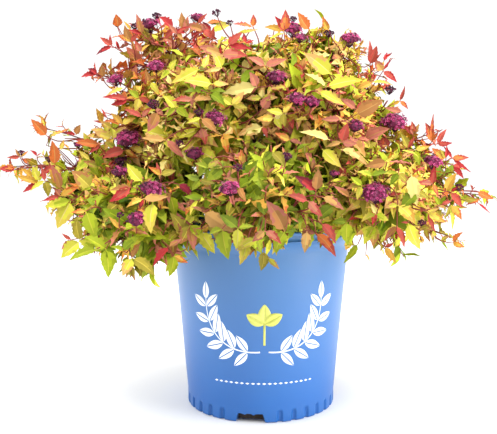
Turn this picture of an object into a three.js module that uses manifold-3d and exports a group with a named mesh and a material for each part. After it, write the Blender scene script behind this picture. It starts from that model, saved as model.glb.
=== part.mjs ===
// A compact flowering shrub, grown wide and low over the rim of the round nursery pot it stands in.
// Millimetres, +Z up, +X to the right, -Y to the front. The origin is the centre of the pot's flat underside.
// Azimuths are in degrees, counter-clockwise from +X seen from above: 0 right, 90 back, 180 left, 270 front.

import * as THREE from "three";
import { mergeVertices } from "three/addons/utils/BufferGeometryUtils.js";
import Module from "manifold-3d";

// ---- Driving dimensions ----

const GAP = 0.3; // left between pieces that touch

const POT = {
  height: 230,
  rimRadius: 113.5, // outside of the band round the mouth
  bandHeight: 12,
  bandStep: 1.8, // how far the band stands out from the wall
  footRadius: 94,
  footHeight: 18, // the thick ring that carries the flutes and the drain notches
  footThickness: 5.5,
  edge: 2.5, // chamfer round the foot
  wall: 2,
  floor: 3,
  segments: 48,
};

// Upright grooves round the foot, each with its centre line a little outside the wall, and the
// wider notches that let water out.
const FLUTES = { pitches: 33, radius: 3.4, height: 15, outset: 0.4 };
const NOTCHES = { count: 3, turn: 261.5, height: 11, halfWidth: 18.5, halfTop: 15, depth: 14 };

const SOIL_TOP = 205;

const STEM = { height: 30, footRadius: 27, topRadius: 17, lobes: 5, lobeDepth: 0.09 };

// The boughs, one to each mass. rise is the share of its climb that a bough has made at its bend,
// and sway is the most that the bend stands off to one side, in degrees.
const BOUGHS = { footRadius: 3.2, tipRadius: 1.7, sides: 6, steps: 6, rise: 0.72, sway: 16 };

// Where the boughs of each tier leave the stem, and how far from the axis they bend.
const BOUGH_FEET = {
  skirt: { distance: 14, height: SOIL_TOP + 12, bend: 62 },
  shoulder: { distance: 11, height: SOIL_TOP + 20, bend: 36 },
  top: { distance: 6, height: SOIL_TOP + 26, bend: 12 },
};

// The bare space under the crown, as a profile of radius and height that no foliage enters.
const HOLLOW = [
  [POT.rimRadius + 5, 0],
  [POT.rimRadius + 5, POT.height + 7],
  [92, 252],
  [70, 296],
  [32, 330],
  [25, 382],
];

const UNEVEN = 0.12; // how far a mass of foliage swells and sinks, as a share of its size

// The masses of foliage, in three tiers. Each mass stands at an azimuth, a distance from the axis
// and a height. A tier's half sizes are its reach outwards, sideways and upright.
const SKIRT = {
  half: [88, 82, 60],
  masses: [
    { name: "right", azimuth: 0, distance: 176, height: 276 },
    { name: "back_right", azimuth: 45, distance: 180, height: 274 },
    { name: "back", azimuth: 90, distance: 186, height: 272 },
    { name: "back_left", azimuth: 135, distance: 190, height: 266 },
    { name: "left", azimuth: 180, distance: 198, height: 272 },
    { name: "front_left", azimuth: 222, distance: 188, height: 248 },
    { name: "front", azimuth: 270, distance: 166, height: 278 },
    { name: "front_right", azimuth: 315, distance: 172, height: 272 },
  ],
};
const SHOULDER = {
  half: [77, 74, 74],
  masses: [
    { name: "right", azimuth: 0, distance: 104, height: 364 },
    { name: "back_right", azimuth: 60, distance: 110, height: 366 },
    { name: "back_left", azimuth: 120, distance: 114, height: 364 },
    { name: "left", azimuth: 180, distance: 120, height: 368 },
    { name: "front_left", azimuth: 240, distance: 116, height: 362 },
    { name: "front_right", azimuth: 300, distance: 108, height: 360 },
  ],
};
const TOP = {
  half: [78, 72, 64],
  masses: [
    { name: "right", azimuth: 355, distance: 68, height: 420 },
    { name: "back", azimuth: 108, distance: 78, height: 402 },
    { name: "left", azimuth: 182, distance: 114, height: 430 },
    { name: "front", azimuth: 262, distance: 74, height: 408 },
  ],
};

// Lone shoots that stand out of the crown: where each tip is, and the height at which the shoot
// leaves the foliage.
const SHOOTS = [
  { name: "far_left", azimuth: 183, distance: 328, height: 298, from: 302 },
  { name: "upper_left", azimuth: 176, distance: 290, height: 350, from: 328 },
  { name: "high_left", azimuth: 181, distance: 222, height: 416, from: 402 },
  { name: "high_right", azimuth: 6, distance: 168, height: 428, from: 402 },
  { name: "mid_right", azimuth: 352, distance: 232, height: 348, from: 324 },
  { name: "far_right", azimuth: 358, distance: 292, height: 262, from: 268 },
  { name: "low_right", azimuth: 346, distance: 248, height: 212, from: 234 },
  { name: "low_front", azimuth: 324, distance: 187, height: 200, from: 232 },
  { name: "back_right", azimuth: 62, distance: 272, height: 314, from: 292 },
  { name: "back_left", azimuth: 124, distance: 276, height: 300, from: 286 },
];
const SHOOT = { start: 0.72, radius: 13, detail: 1 };

// ---- Solids ----

const wasm = await Module();
wasm.setup();

// A closed three.js geometry as a solid that can be joined and cut.
function solidFrom(geometry) {
  const bare = geometry.clone();
  bare.deleteAttribute("normal");
  bare.deleteAttribute("uv");
  const merged = mergeVertices(bare, 1e-3);
  return new wasm.Manifold(
    new wasm.Mesh({
      numProp: 3,
      vertProperties: merged.attributes.position.array,
      triVerts: new Uint32Array(merged.index.array),
    }),
  );
}

// A solid as a three.js geometry.
function geometryFrom(solid) {
  const mesh = solid.getMesh();
  const geometry = new THREE.BufferGeometry();
  geometry.setAttribute("position", new THREE.BufferAttribute(mesh.vertProperties, mesh.numProp));
  geometry.setIndex(new THREE.BufferAttribute(mesh.triVerts, 1));
  geometry.computeVertexNormals();
  return geometry;
}

// The largest of the bodies that a cut leaves.
function largestBody(solid) {
  return solid.decompose().reduce((a, b) => (a.volume() > b.volume() ? a : b));
}

// A profile of [radius, height] points, from the axis round to the axis, turned about Z.
function turned(profile, segments) {
  const points = profile.map(([radius, height]) => new THREE.Vector2(radius, height));
  return solidFrom(new THREE.LatheGeometry(points, segments).rotateX(Math.PI / 2));
}

// The point at an azimuth in degrees, a distance from the axis and a height.
function around(azimuth, distance, height) {
  const angle = THREE.MathUtils.degToRad(azimuth);
  return new THREE.Vector3(distance * Math.cos(angle), distance * Math.sin(angle), height);
}

// ---- Pot and soil ----

const wallTopRadius = POT.rimRadius - POT.bandStep;
const bandBottom = POT.height - POT.bandHeight;

// Outer radius of the tapering wall at a height. Inside the band it goes on at the same slope.
function wallRadius(height) {
  const share = (height - POT.footHeight) / (bandBottom - POT.footHeight);
  return THREE.MathUtils.lerp(POT.footRadius, wallTopRadius, share);
}

const insideRadius = (height) => wallRadius(height) - POT.wall;

function makePot() {
  const { footRadius, footThickness, footHeight, edge, floor, height, rimRadius } = POT;
  let pot = turned(
    [
      [0, 0],
      [footRadius - edge, 0],
      [footRadius, edge],
      [footRadius, footHeight],
      [wallTopRadius, bandBottom],
      [rimRadius, bandBottom],
      [rimRadius, height - 1],
      [rimRadius - 1, height],
      [insideRadius(height) + 1, height],
      [insideRadius(height - 1), height - 1],
      [insideRadius(footHeight + 6), footHeight + 6],
      [footRadius - footThickness, footHeight],
      [footRadius - footThickness, floor],
      [0, floor],
    ],
    POT.segments,
  );
  for (const cutter of footCutters()) pot = pot.subtract(cutter);
  return pot;
}

// The grooves round the foot, and the drain notches, which take the place of three grooves each.
function footCutters() {
  const cutters = [];
  const pitch = 360 / FLUTES.pitches;
  const perNotch = FLUTES.pitches / NOTCHES.count;
  for (let i = 0; i < FLUTES.pitches; i++) {
    const turn = NOTCHES.turn + i * pitch;
    const fromNotch = Math.min(i % perNotch, perNotch - (i % perNotch));
    if (fromNotch === 0) cutters.push(notchCutter(turn));
    else if (fromNotch > 1) cutters.push(fluteCutter(turn));
  }
  return cutters;
}

function fluteCutter(azimuth) {
  const shape = new THREE.CapsuleGeometry(FLUTES.radius, 2 * FLUTES.height, 1, 6);
  const place = around(azimuth, POT.footRadius + FLUTES.outset, -FLUTES.radius);
  return solidFrom(shape.rotateX(Math.PI / 2).translate(place.x, place.y, place.z));
}

function notchCutter(azimuth) {
  const { halfWidth, halfTop, height, depth } = NOTCHES;
  const outline = new THREE.Shape([
    new THREE.Vector2(-halfWidth, -1),
    new THREE.Vector2(halfWidth, -1),
    new THREE.Vector2(halfTop, height),
    new THREE.Vector2(-halfTop, height),
  ]);
  const shape = new THREE.ExtrudeGeometry(outline, { depth: 2 * depth, bevelEnabled: false });
  shape.rotateX(Math.PI / 2); // the outline stands up, and the extrusion runs along -Y
  shape.rotateZ(THREE.MathUtils.degToRad(azimuth + 90));
  const place = around(azimuth, POT.footRadius - depth, 0);
  return solidFrom(shape.translate(place.x, place.y, place.z));
}

function makeSoil() {
  const { footRadius, footThickness, footHeight, floor } = POT;
  const footInside = footRadius - footThickness - GAP;
  return turned(
    [
      [0, floor + GAP],
      [footInside, floor + GAP],
      [footInside, footHeight],
      [insideRadius(footHeight + 6) - GAP, footHeight + 6 + GAP],
      [insideRadius(SOIL_TOP) - GAP, SOIL_TOP],
      [0, SOIL_TOP],
    ],
    POT.segments,
  );
}

// ---- Wood ----

// The short woody foot that every bough springs from: flared and lobed, cut flat at the soil.
function makeStem() {
  const { height, footRadius, topRadius, lobes, lobeDepth } = STEM;
  const shape = new THREE.CylinderGeometry(1, 1, height, 4 * lobes, 4).rotateX(Math.PI / 2);
  const position = shape.attributes.position;
  for (let i = 0; i < position.count; i++) {
    const share = position.getZ(i) / height + 0.5;
    const flare = THREE.MathUtils.lerp(footRadius, topRadius, Math.sqrt(share));
    const angle = Math.atan2(position.getY(i), position.getX(i));
    const radius = flare * (1 + lobeDepth * Math.cos(lobes * angle));
    position.setX(i, position.getX(i) * radius);
    position.setY(i, position.getY(i) * radius);
    position.setZ(i, SOIL_TOP + GAP + share * height);
  }
  return solidFrom(shape);
}

// A limb that tapers along a curve: a cylinder whose rings are carried along the curve. A margin
// makes it thicker all over.
function limb(curve, margin = 0) {
  const { footRadius, tipRadius, sides, steps } = BOUGHS;
  const shape = new THREE.CylinderGeometry(1, 1, 1, sides, steps);
  const position = shape.attributes.position;
  for (let i = 0; i < position.count; i++) {
    const share = THREE.MathUtils.clamp(position.getY(i) + 0.5, 0, 1);
    const radius = THREE.MathUtils.lerp(footRadius, tipRadius, share) + margin;
    const along = curve.getTangentAt(share);
    const side = new THREE.Vector3(-along.y, along.x, 0).normalize();
    const up = new THREE.Vector3().crossVectors(side, along);
    const point = curve
      .getPointAt(share)
      .addScaledVector(side, position.getX(i) * radius)
      .addScaledVector(up, position.getZ(i) * radius);
    position.setXYZ(i, point.x, point.y, point.z);
  }
  return solidFrom(shape);
}

// A bough's line: out of the woody foot, up with a bend to one side, and over to the middle of its mass.
function boughLine(azimuth, sway, foot, middle) {
  const start = around(azimuth, foot.distance, foot.height);
  const bend = around(azimuth + sway, foot.bend, THREE.MathUtils.lerp(start.z, middle.z, BOUGHS.rise));
  return new THREE.QuadraticBezierCurve3(start, bend, middle);
}

// ---- Foliage ----

// A seeded source of numbers from 0 to 1 (the mulberry32 rule).
function seeded(seed) {
  let state = seed;
  return () => {
    state = (state + 0x6d2b79f5) | 0;
    let t = Math.imul(state ^ (state >>> 15), 1 | state);
    t = (t + Math.imul(t ^ (t >>> 7), 61 | t)) ^ t;
    return ((t ^ (t >>> 14)) >>> 0) / 4294967296;
  };
}

// A smooth uneven field over directions, from about -1 to 1: a few waves that cross each other.
function waves(random) {
  const count = 5;
  const rarePeak = 2.6; // sums above this are rare with so few waves
  const crossing = Array.from({ length: count }, () => ({
    way: new THREE.Vector3(random() - 0.5, random() - 0.5, random() - 0.5).normalize(),
    often: 2.2 + 3 * random(),
    start: 2 * Math.PI * random(),
  }));
  return (direction) =>
    crossing.reduce((sum, w) => sum + Math.sin(w.often * direction.dot(w.way) + w.start), 0) / rarePeak;
}

// An uneven ball of foliage. half gives its half sizes outwards, sideways and upright at its azimuth.
function uneven({ middle, half, azimuth, tilt = 0, seed, detail = 2 }) {
  const field = waves(seeded(seed));
  const shape = new THREE.IcosahedronGeometry(1, detail);
  const position = shape.attributes.position;
  const turn = new THREE.Matrix4()
    .makeRotationZ(THREE.MathUtils.degToRad(azimuth))
    .multiply(new THREE.Matrix4().makeRotationY(tilt));
  const sizes = new THREE.Vector3(...half);
  for (let i = 0; i < position.count; i++) {
    const point = new THREE.Vector3().fromBufferAttribute(position, i);
    const swell = 1 + UNEVEN * field(point);
    point.multiply(sizes).multiplyScalar(swell).applyMatrix4(turn).add(middle);
    position.setXYZ(i, point.x, point.y, point.z);
  }
  return solidFrom(shape);
}

// How far an uneven ball reaches from its middle along a unit direction.
function reachAlong({ half, azimuth }, direction) {
  const upright = new THREE.Vector3(0, 0, 1);
  const local = direction.clone().applyAxisAngle(upright, -THREE.MathUtils.degToRad(azimuth));
  return 1 / local.divide(new THREE.Vector3(...half)).length();
}

// Where two masses meet, each is cut at one plane between them, with a gap left open.
function partAtPlane(a, b) {
  if (a.solid.intersect(b.solid).isEmpty()) return;
  const way = b.middle.clone().sub(a.middle);
  const apart = way.length();
  way.normalize();
  const reachA = reachAlong(a, way);
  const share = reachA / (reachA + reachAlong(b, way));
  const offset = way.dot(a.middle) + apart * share;
  a.solid = a.solid.trimByPlane(way.clone().negate().toArray(), -offset + GAP / 2);
  b.solid = b.solid.trimByPlane(way.toArray(), offset + GAP / 2);
}

// The masses of one tier, before they are cut to each other.
function tier(prefix, { masses, half }, seed) {
  return masses.map(({ name, azimuth, distance, height }, i) => {
    const mass = { name: `${prefix}_${name}`, azimuth, half, seed: seed + i };
    mass.middle = around(azimuth, distance, height);
    mass.solid = uneven(mass);
    return mass;
  });
}

function makeMasses() {
  const masses = [...tier("skirt", SKIRT, 11), ...tier("shoulder", SHOULDER, 31), ...tier("top", TOP, 51)];
  masses.forEach((a, i) => masses.slice(i + 1).forEach((b) => partAtPlane(a, b)));
  const hollow = turned([[0, 0], ...HOLLOW, [0, HOLLOW.at(-1)[1] + 8]], 24);
  for (const mass of masses) mass.solid = largestBody(mass.solid.subtract(hollow));
  return masses;
}

// A lone shoot of leaves: a slim uneven ball from inside the crown out to its tip, cut where it
// leaves the masses.
function makeShoots(masses) {
  return SHOOTS.map(({ name, azimuth, distance, height, from }, i) => {
    const tip = around(azimuth, distance, height);
    const root = around(azimuth, distance * SHOOT.start, from);
    const length = tip.distanceTo(root);
    const shape = {
      middle: tip.clone().add(root).multiplyScalar(0.5),
      half: [length / 2, SHOOT.radius, SHOOT.radius],
      azimuth,
      tilt: -Math.asin((tip.z - root.z) / length),
      seed: 71 + i,
      detail: SHOOT.detail,
    };
    let solid = uneven(shape);
    for (const mass of masses) solid = solid.subtract(swollen(mass));
    return { name: `shoot_${name}`, solid: largestBody(solid) };
  });
}

// A solid made larger about a point, in the share that its least reach needs to gain a distance.
function grown(solid, middle, reach, distance) {
  return solid
    .translate(middle.clone().negate().toArray())
    .scale(1 + distance / reach)
    .translate(middle.toArray());
}

// A mass with room round it: its cut faces stand nearer its middle, so the margin is twice the gap.
const swollen = ({ solid, middle, half }) => grown(solid, middle, Math.min(...half), 2 * GAP);

// One bough to each mass. Its foot is cut by the stem and its tip by the mass it feeds, and any
// other mass that it passes is cut round it.
function makeBoughs(masses, stem) {
  const random = seeded(91);
  const stemRoom = grown(stem, around(0, 0, SOIL_TOP), STEM.topRadius, GAP);
  return masses.map((mass) => {
    const foot = BOUGH_FEET[mass.name.split("_")[0]];
    const sway = BOUGHS.sway * (2 * random() - 1);
    const line = boughLine(mass.azimuth, sway, foot, mass.middle);
    const room = limb(line, GAP);
    for (const other of masses) {
      if (other === mass || other.solid.intersect(room).isEmpty()) continue;
      other.solid = largestBody(other.solid.subtract(room));
    }
    const bough = limb(line).subtract(stemRoom).subtract(swollen(mass));
    return { name: `bough_${mass.name}`, solid: largestBody(bough) };
  });
}

// ---- The shrub ----

const matte = (color, roughness) => new THREE.MeshStandardMaterial({ color, roughness, metalness: 0 });

// Each material is named by the first word of the pieces that have it.
const MATERIALS = {
  pot: matte(0x5b8fd6, 0.42), // blue plastic with a satin skin
  soil: matte(0x2a211b, 0.95),
  stem: matte(0x5a3a2a, 0.8),
  bough: matte(0x5a3a2a, 0.8),
  skirt: matte(0xa9b83a, 0.6), // lime
  shoulder: matte(0xc2b04a, 0.6), // gold
  top: matte(0xc98a4a, 0.6), // bronze
  shoot: matte(0xd0693f, 0.6), // the coral of young leaves
};

const stem = makeStem();
const masses = makeMasses();
const boughs = makeBoughs(masses, stem); // cuts room for itself in the masses it passes
const shoots = makeShoots(masses);

const shrub = new THREE.Group();
const pieces = [
  { name: "pot", solid: makePot() },
  { name: "soil", solid: makeSoil() },
  { name: "stem_base", solid: stem },
  ...boughs,
  ...masses,
  ...shoots,
];
for (const { name, solid } of pieces) {
  const mesh = new THREE.Mesh(geometryFrom(solid), MATERIALS[name.split("_")[0]]);
  mesh.name = name;
  shrub.add(mesh);
}

export default shrub;
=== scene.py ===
"""Looks of a potted flowering shrub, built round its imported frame.

Every length is in millimetres and every azimuth in degrees, counter-clockwise from +X seen from above,
until a mesh is filled, where MM turns lengths into metres. +Z is up and -Y is the front.
"""

import logging
import math
from collections.abc import Sequence
from dataclasses import dataclass, field, replace
from enum import Enum

import bpy
import numpy as np
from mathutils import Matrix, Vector
from mathutils.bvhtree import BVHTree


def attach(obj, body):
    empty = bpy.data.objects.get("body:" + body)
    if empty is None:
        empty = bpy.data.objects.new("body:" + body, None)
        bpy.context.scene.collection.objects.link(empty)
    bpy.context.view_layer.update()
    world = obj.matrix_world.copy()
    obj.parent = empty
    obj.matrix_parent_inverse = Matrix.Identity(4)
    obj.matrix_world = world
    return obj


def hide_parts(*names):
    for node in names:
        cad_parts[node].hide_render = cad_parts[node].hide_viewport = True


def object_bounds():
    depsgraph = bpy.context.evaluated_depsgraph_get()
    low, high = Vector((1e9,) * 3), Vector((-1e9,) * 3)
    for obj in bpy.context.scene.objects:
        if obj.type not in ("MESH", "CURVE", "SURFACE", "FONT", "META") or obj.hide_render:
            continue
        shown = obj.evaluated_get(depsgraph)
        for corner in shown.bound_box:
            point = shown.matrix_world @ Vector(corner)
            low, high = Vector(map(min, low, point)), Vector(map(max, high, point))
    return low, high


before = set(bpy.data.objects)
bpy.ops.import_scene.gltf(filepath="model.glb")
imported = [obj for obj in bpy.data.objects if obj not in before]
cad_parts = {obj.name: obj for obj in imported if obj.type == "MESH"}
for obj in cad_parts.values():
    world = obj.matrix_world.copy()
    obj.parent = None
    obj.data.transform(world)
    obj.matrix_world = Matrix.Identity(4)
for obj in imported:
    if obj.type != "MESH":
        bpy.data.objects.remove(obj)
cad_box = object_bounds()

MM = 0.001
UP = np.array([0.0, 0.0, 1.0])
GOLDEN_TURN = math.radians(137.508)  # from one leaf to the next round a shoot

Amount = np.ndarray | float
Pair = tuple[float, float]
Triple = tuple[float, float, float]
Rgb = tuple[int, int, int]
Stops = tuple[tuple[float, Rgb], ...]

log = logging.getLogger("shrub")


# ---- Arithmetic on whole arrays ----


def unit(vectors: np.ndarray) -> np.ndarray:
    """Vectors divided by their lengths.

    Args:
        vectors: any array whose last axis is x, y, z.

    Returns:
        The array with each vector one long.
    """
    return vectors / np.maximum(np.linalg.norm(vectors, axis=-1, keepdims=True), 1e-9)


def lerp(start: Amount, end: Amount, share: Amount) -> Amount:
    """The value a share of the way from start to end."""
    return start + (end - start) * share


def ease(share: np.ndarray) -> np.ndarray:
    """A share clipped to 0 to 1 and eased at both ends: 3 s squared less 2 s cubed."""
    clipped = np.clip(share, 0.0, 1.0)
    return clipped * clipped * (3.0 - 2.0 * clipped)


def around(azimuth: float, distance: float, height: float) -> np.ndarray:
    """The point at an azimuth, a distance from the axis and a height."""
    angle = math.radians(azimuth)
    return np.array([distance * math.cos(angle), distance * math.sin(angle), height])


def ring_angles(count: int) -> np.ndarray:
    """Angles in even steps once round, in radians."""
    return np.linspace(0.0, 2.0 * math.pi, count, endpoint=False)


def round_axis(radius: Amount, angle: Amount, height: Amount) -> np.ndarray:
    """The points at radii, angles in radians and heights, which broadcast together."""
    return np.stack(np.broadcast_arrays(radius * np.cos(angle), radius * np.sin(angle), height), axis=-1)


def dot(a: np.ndarray, b: np.ndarray) -> np.ndarray:
    """The dot product along the last axis, which stays as an axis of one."""
    return np.sum(a * b, axis=-1, keepdims=True)


def square_to(direction: np.ndarray, wish: np.ndarray) -> np.ndarray:
    """The unit vectors square to direction that lie nearest to wish."""
    return unit(wish - dot(wish, direction) * direction)


def bezier(points: Sequence[np.ndarray], count: int) -> np.ndarray:
    """A Bezier curve of any degree by repeated halving of the way between neighbours.

    Args:
        points: its control points.
        count: how many points to give along it.

    Returns:
        An array of count points.
    """
    share = np.linspace(0.0, 1.0, count)[:, None]
    level = [np.broadcast_to(np.asarray(p, float), (count, 3)) for p in points]
    while len(level) > 1:
        level = [lerp(a, b, share) for a, b in zip(level[:-1], level[1:])]
    return level[0]


def travelled(line: np.ndarray) -> np.ndarray:
    """How far along a line each of its points lies."""
    return np.concatenate([[0.0], np.cumsum(np.linalg.norm(np.diff(line, axis=0), axis=1))])


def read_off(line: np.ndarray, vectors: np.ndarray, places: np.ndarray) -> np.ndarray:
    """Vectors that are given at a line's points, at other places along it."""
    way = travelled(line)
    return np.stack([np.interp(places, way, vectors[:, k]) for k in range(3)], axis=-1)


def resampled(line: np.ndarray, count: int) -> np.ndarray:
    """A line with count points at even distances."""
    return read_off(line, line, np.linspace(0.0, travelled(line)[-1], count))


def carried(pattern: np.ndarray, place: np.ndarray, *axes: np.ndarray) -> np.ndarray:
    """Copies of a pattern, each at its place and turned to its own axes: x times the first axis, plus y
    times the second, plus z times the third.

    Args:
        pattern: points by 3, or copies by points by 3.
        place: each copy's origin.
        axes: each copy's three axes.

    Returns:
        Copies by points by 3.
    """
    return place[:, None] + sum(pattern[..., k : k + 1] * axis[:, None] for k, axis in enumerate(axes))


def grid_faces(rows: int, columns: int, wrap: bool = False) -> np.ndarray:
    """The quads of a grid of points that is numbered row by row.

    Args:
        rows: how many rows of points.
        columns: how many points in a row.
        wrap: whether the last column joins the first.

    Returns:
        An array with four point numbers for each quad.
    """
    row = np.arange(rows - 1)[:, None] * columns
    column = np.arange(columns if wrap else columns - 1)[None, :]
    after = (column + 1) % columns
    quads = np.stack([row + column, row + after, row + columns + after, row + columns + column], axis=-1)
    return quads.reshape(-1, 4)


def plant_lottery(seed: int, count: int) -> list[float]:
    """Numbers from 0 to 1 by the mulberry32 rule, which also draws the sway of the frame's boughs.

    Args:
        seed: where the rule starts.
        count: how many numbers to draw.

    Returns:
        The numbers in order.
    """
    mask, state, drawn = 0xFFFFFFFF, seed, []
    for _ in range(count):
        state = (state + 0x6D2B79F5) & mask
        mixed = ((state ^ state >> 15) * (1 | state)) & mask
        mixed = ((mixed + ((mixed ^ mixed >> 7) * (61 | mixed) & mask)) & mask) ^ mixed
        drawn.append((mixed ^ mixed >> 14) / 2**32)
    return drawn


def rows_of(text: str) -> list[list[str]]:
    """The words of each row of a written list, whose rows are parted by semicolons or new lines."""
    return [row.split() for row in text.replace(";", "\n").splitlines() if row.strip()]


# ---- Finishes ----


class Slot(Enum):
    """The record's material slots."""

    POT = "pot"
    PRINT = "pot_print"
    SOIL = "soil"
    BARK = "bark"
    SKIRT = "foliage_skirt"
    SHOULDER = "foliage_shoulder"
    TOP = "foliage_top"
    SHOOTS = "foliage_shoots"
    BLOSSOM = "blossom"


def linear(srgb: Rgb) -> tuple[float, float, float, float]:
    """An 8-bit sRGB colour as the linear RGBA that a shader takes.

    Args:
        srgb: red, green and blue from 0 to 255.

    Returns:
        Red, green, blue and one.
    """
    shares = np.array(srgb) / 255.0
    light = np.where(shares <= 0.04045, shares / 12.92, ((shares + 0.055) / 1.055) ** 2.4)
    return (*(float(x) for x in light), 1.0)


class NodeBench:
    """Lays out the nodes of one material."""

    def __init__(self, name: str) -> None:
        """Makes an empty material with its principled shader.

        Args:
            name: the material's name.
        """
        self.material = bpy.data.materials.new(name)
        self.material.use_nodes = True
        self.tree = self.material.node_tree
        self.shader = self.tree.nodes["Principled BSDF"]

    def add(self, kind: str, **settings: object) -> bpy.types.Node:
        """Adds a node.

        Args:
            kind: its type name.
            settings: properties, or input values under the input's own name.

        Returns:
            The node.
        """
        node = self.tree.nodes.new(kind)
        for key, value in settings.items():
            if key in node.inputs:
                node.inputs[key].default_value = value
            else:
                setattr(node, key, value)
        return node

    def link(self, source: bpy.types.NodeSocket, target: bpy.types.NodeSocket) -> None:
        """Joins an output to an input."""
        self.tree.links.new(source, target)

    def noise(self, scale: float, detail: float, stretch: Triple = (1.0, 1.0, 1.0)) -> bpy.types.NodeSocket:
        """A noise on object coordinates.

        Args:
            scale: features for each metre.
            detail: how many finer layers it has.
            stretch: factors on x, y and z before the noise.

        Returns:
            The noise's output.
        """
        place = self.add("ShaderNodeTexCoord")
        mapping = self.add("ShaderNodeMapping", Scale=stretch)
        texture = self.add("ShaderNodeTexNoise", Scale=scale, Detail=detail)
        self.link(place.outputs["Object"], mapping.inputs["Vector"])
        self.link(mapping.outputs["Vector"], texture.inputs["Vector"])
        return texture.outputs["Fac"]

    def ramp(self, factor: bpy.types.NodeSocket, stops: Stops) -> bpy.types.NodeSocket:
        """A colour ramp.

        Args:
            factor: the output that drives it.
            stops: places from 0 to 1, each with an sRGB colour.

        Returns:
            The ramp's colour output.
        """
        node = self.add("ShaderNodeValToRGB")
        elements = node.color_ramp.elements
        while len(elements) < len(stops):
            elements.new(0.5)
        for element, (place, colour) in zip(elements, stops):
            element.position = place
            element.color = linear(colour)
        self.link(factor, node.inputs["Fac"])
        return node.outputs["Color"]

    def ranged(self, value: bpy.types.NodeSocket, **ends: float) -> bpy.types.NodeSocket:
        """A value carried from one range to another, whose ends go by the node's own input names.

        Args:
            value: the output that gives it.
            ends: the ranges' ends.

        Returns:
            The carried value's output.
        """
        node = self.add("ShaderNodeMapRange", **ends)
        self.link(value, node.inputs["Value"])
        return node.outputs["Result"]

    def multiplied(self, first: bpy.types.NodeSocket, second: bpy.types.NodeSocket) -> bpy.types.NodeSocket:
        """The product of two colours.

        Args:
            first: an output with a colour.
            second: another.

        Returns:
            The product's output.
        """
        node = self.add("ShaderNodeMix", data_type="RGBA", blend_type="MULTIPLY", Factor=1.0)
        first_colour, second_colour, result = 6, 7, 2  # the sockets that hold colours
        self.link(first, node.inputs[first_colour])
        self.link(second, node.inputs[second_colour])
        return node.outputs[result]

    def bump(self, height: bpy.types.NodeSocket, strength: float, distance: float) -> None:
        """Bumps the surface.

        Args:
            height: the output that gives the relief.
            strength: from 0 to 1.
            distance: the relief's depth in metres.
        """
        node = self.add("ShaderNodeBump", Strength=strength, Distance=distance)
        self.link(height, node.inputs["Height"])
        self.link(node.outputs["Normal"], self.shader.inputs["Normal"])


@dataclass(frozen=True)
class PlainFinish:
    """One flat colour, for what is dealt out spray by spray."""

    name: str
    colour: Rgb
    roughness: float = 0.5
    specular: float = 0.35

    def material(self) -> bpy.types.Material:
        """The material, made once.

        Returns:
            The material.
        """
        found = bpy.data.materials.get(self.name)
        if found:
            return found
        bench = NodeBench(self.name)
        bench.shader.inputs["Base Color"].default_value = linear(self.colour)
        bench.shader.inputs["Roughness"].default_value = self.roughness
        bench.shader.inputs["Specular IOR Level"].default_value = self.specular
        return bench.material


@dataclass(frozen=True)
class PotPlastic:
    """Blue moulded plastic with a satin skin, faintly cloudy, with painted shade that makes it darker and
    deeper blue towards the foot.
    """

    name: str = "pot_plastic"
    # low is the colour at the foot, darkened as painted shade; high is the colour towards the mouth.
    low: Rgb = (32, 97, 170)
    high: Rgb = (64, 111, 162)
    climb: Pair = (0.02, 0.2)  # the heights in metres between which low turns into high, the span of the painted shade
    cloud: Rgb = (236, 240, 246)
    clear: Rgb = (255, 255, 255)
    roughness: Pair = (0.34, 0.44)
    grain_strength: float = 0.12
    grain_depth: float = 0.0002

    def material(self) -> bpy.types.Material:
        """The material: a height ramp of painted shade, darker towards the foot, under a cloud of noise, and
        a fine grain of bump.

        Returns:
            The material.
        """
        bench = NodeBench(self.name)
        place = bench.add("ShaderNodeTexCoord")
        parts = bench.add("ShaderNodeSeparateXYZ")
        bench.link(place.outputs["Object"], parts.inputs["Vector"])
        climb = bench.ranged(parts.outputs["Z"], **{"From Min": self.climb[0], "From Max": self.climb[1]})
        body = bench.ramp(climb, ((0.0, self.low), (1.0, self.high)))
        cloud = bench.noise(9.0, 4.0, (1.0, 1.0, 0.5))
        shade = bench.ramp(cloud, ((0.3, self.cloud), (0.7, self.clear)))
        bench.link(bench.multiplied(body, shade), bench.shader.inputs["Base Color"])
        wear = bench.ranged(cloud, **{"To Min": self.roughness[0], "To Max": self.roughness[1]})
        bench.link(wear, bench.shader.inputs["Roughness"])
        bench.bump(bench.noise(1600.0, 2.0), self.grain_strength, self.grain_depth)
        return bench.material


@dataclass(frozen=True)
class NoisyFinish:
    """A matt surface whose colour wanders over a ramp by noise, with relief by the same noise."""

    name: str
    stops: Stops
    scale: float
    stretch: Triple = (1.0, 1.0, 1.0)
    roughness: float = 0.8
    relief: float = 0.0004
    strength: float = 0.5

    def material(self) -> bpy.types.Material:
        """The material."""
        bench = NodeBench(self.name)
        noise = bench.noise(self.scale, 5.0, self.stretch)
        bench.link(bench.ramp(noise, self.stops), bench.shader.inputs["Base Color"])
        bench.shader.inputs["Roughness"].default_value = self.roughness
        bench.bump(noise, self.strength, self.relief)
        return bench.material


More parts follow.
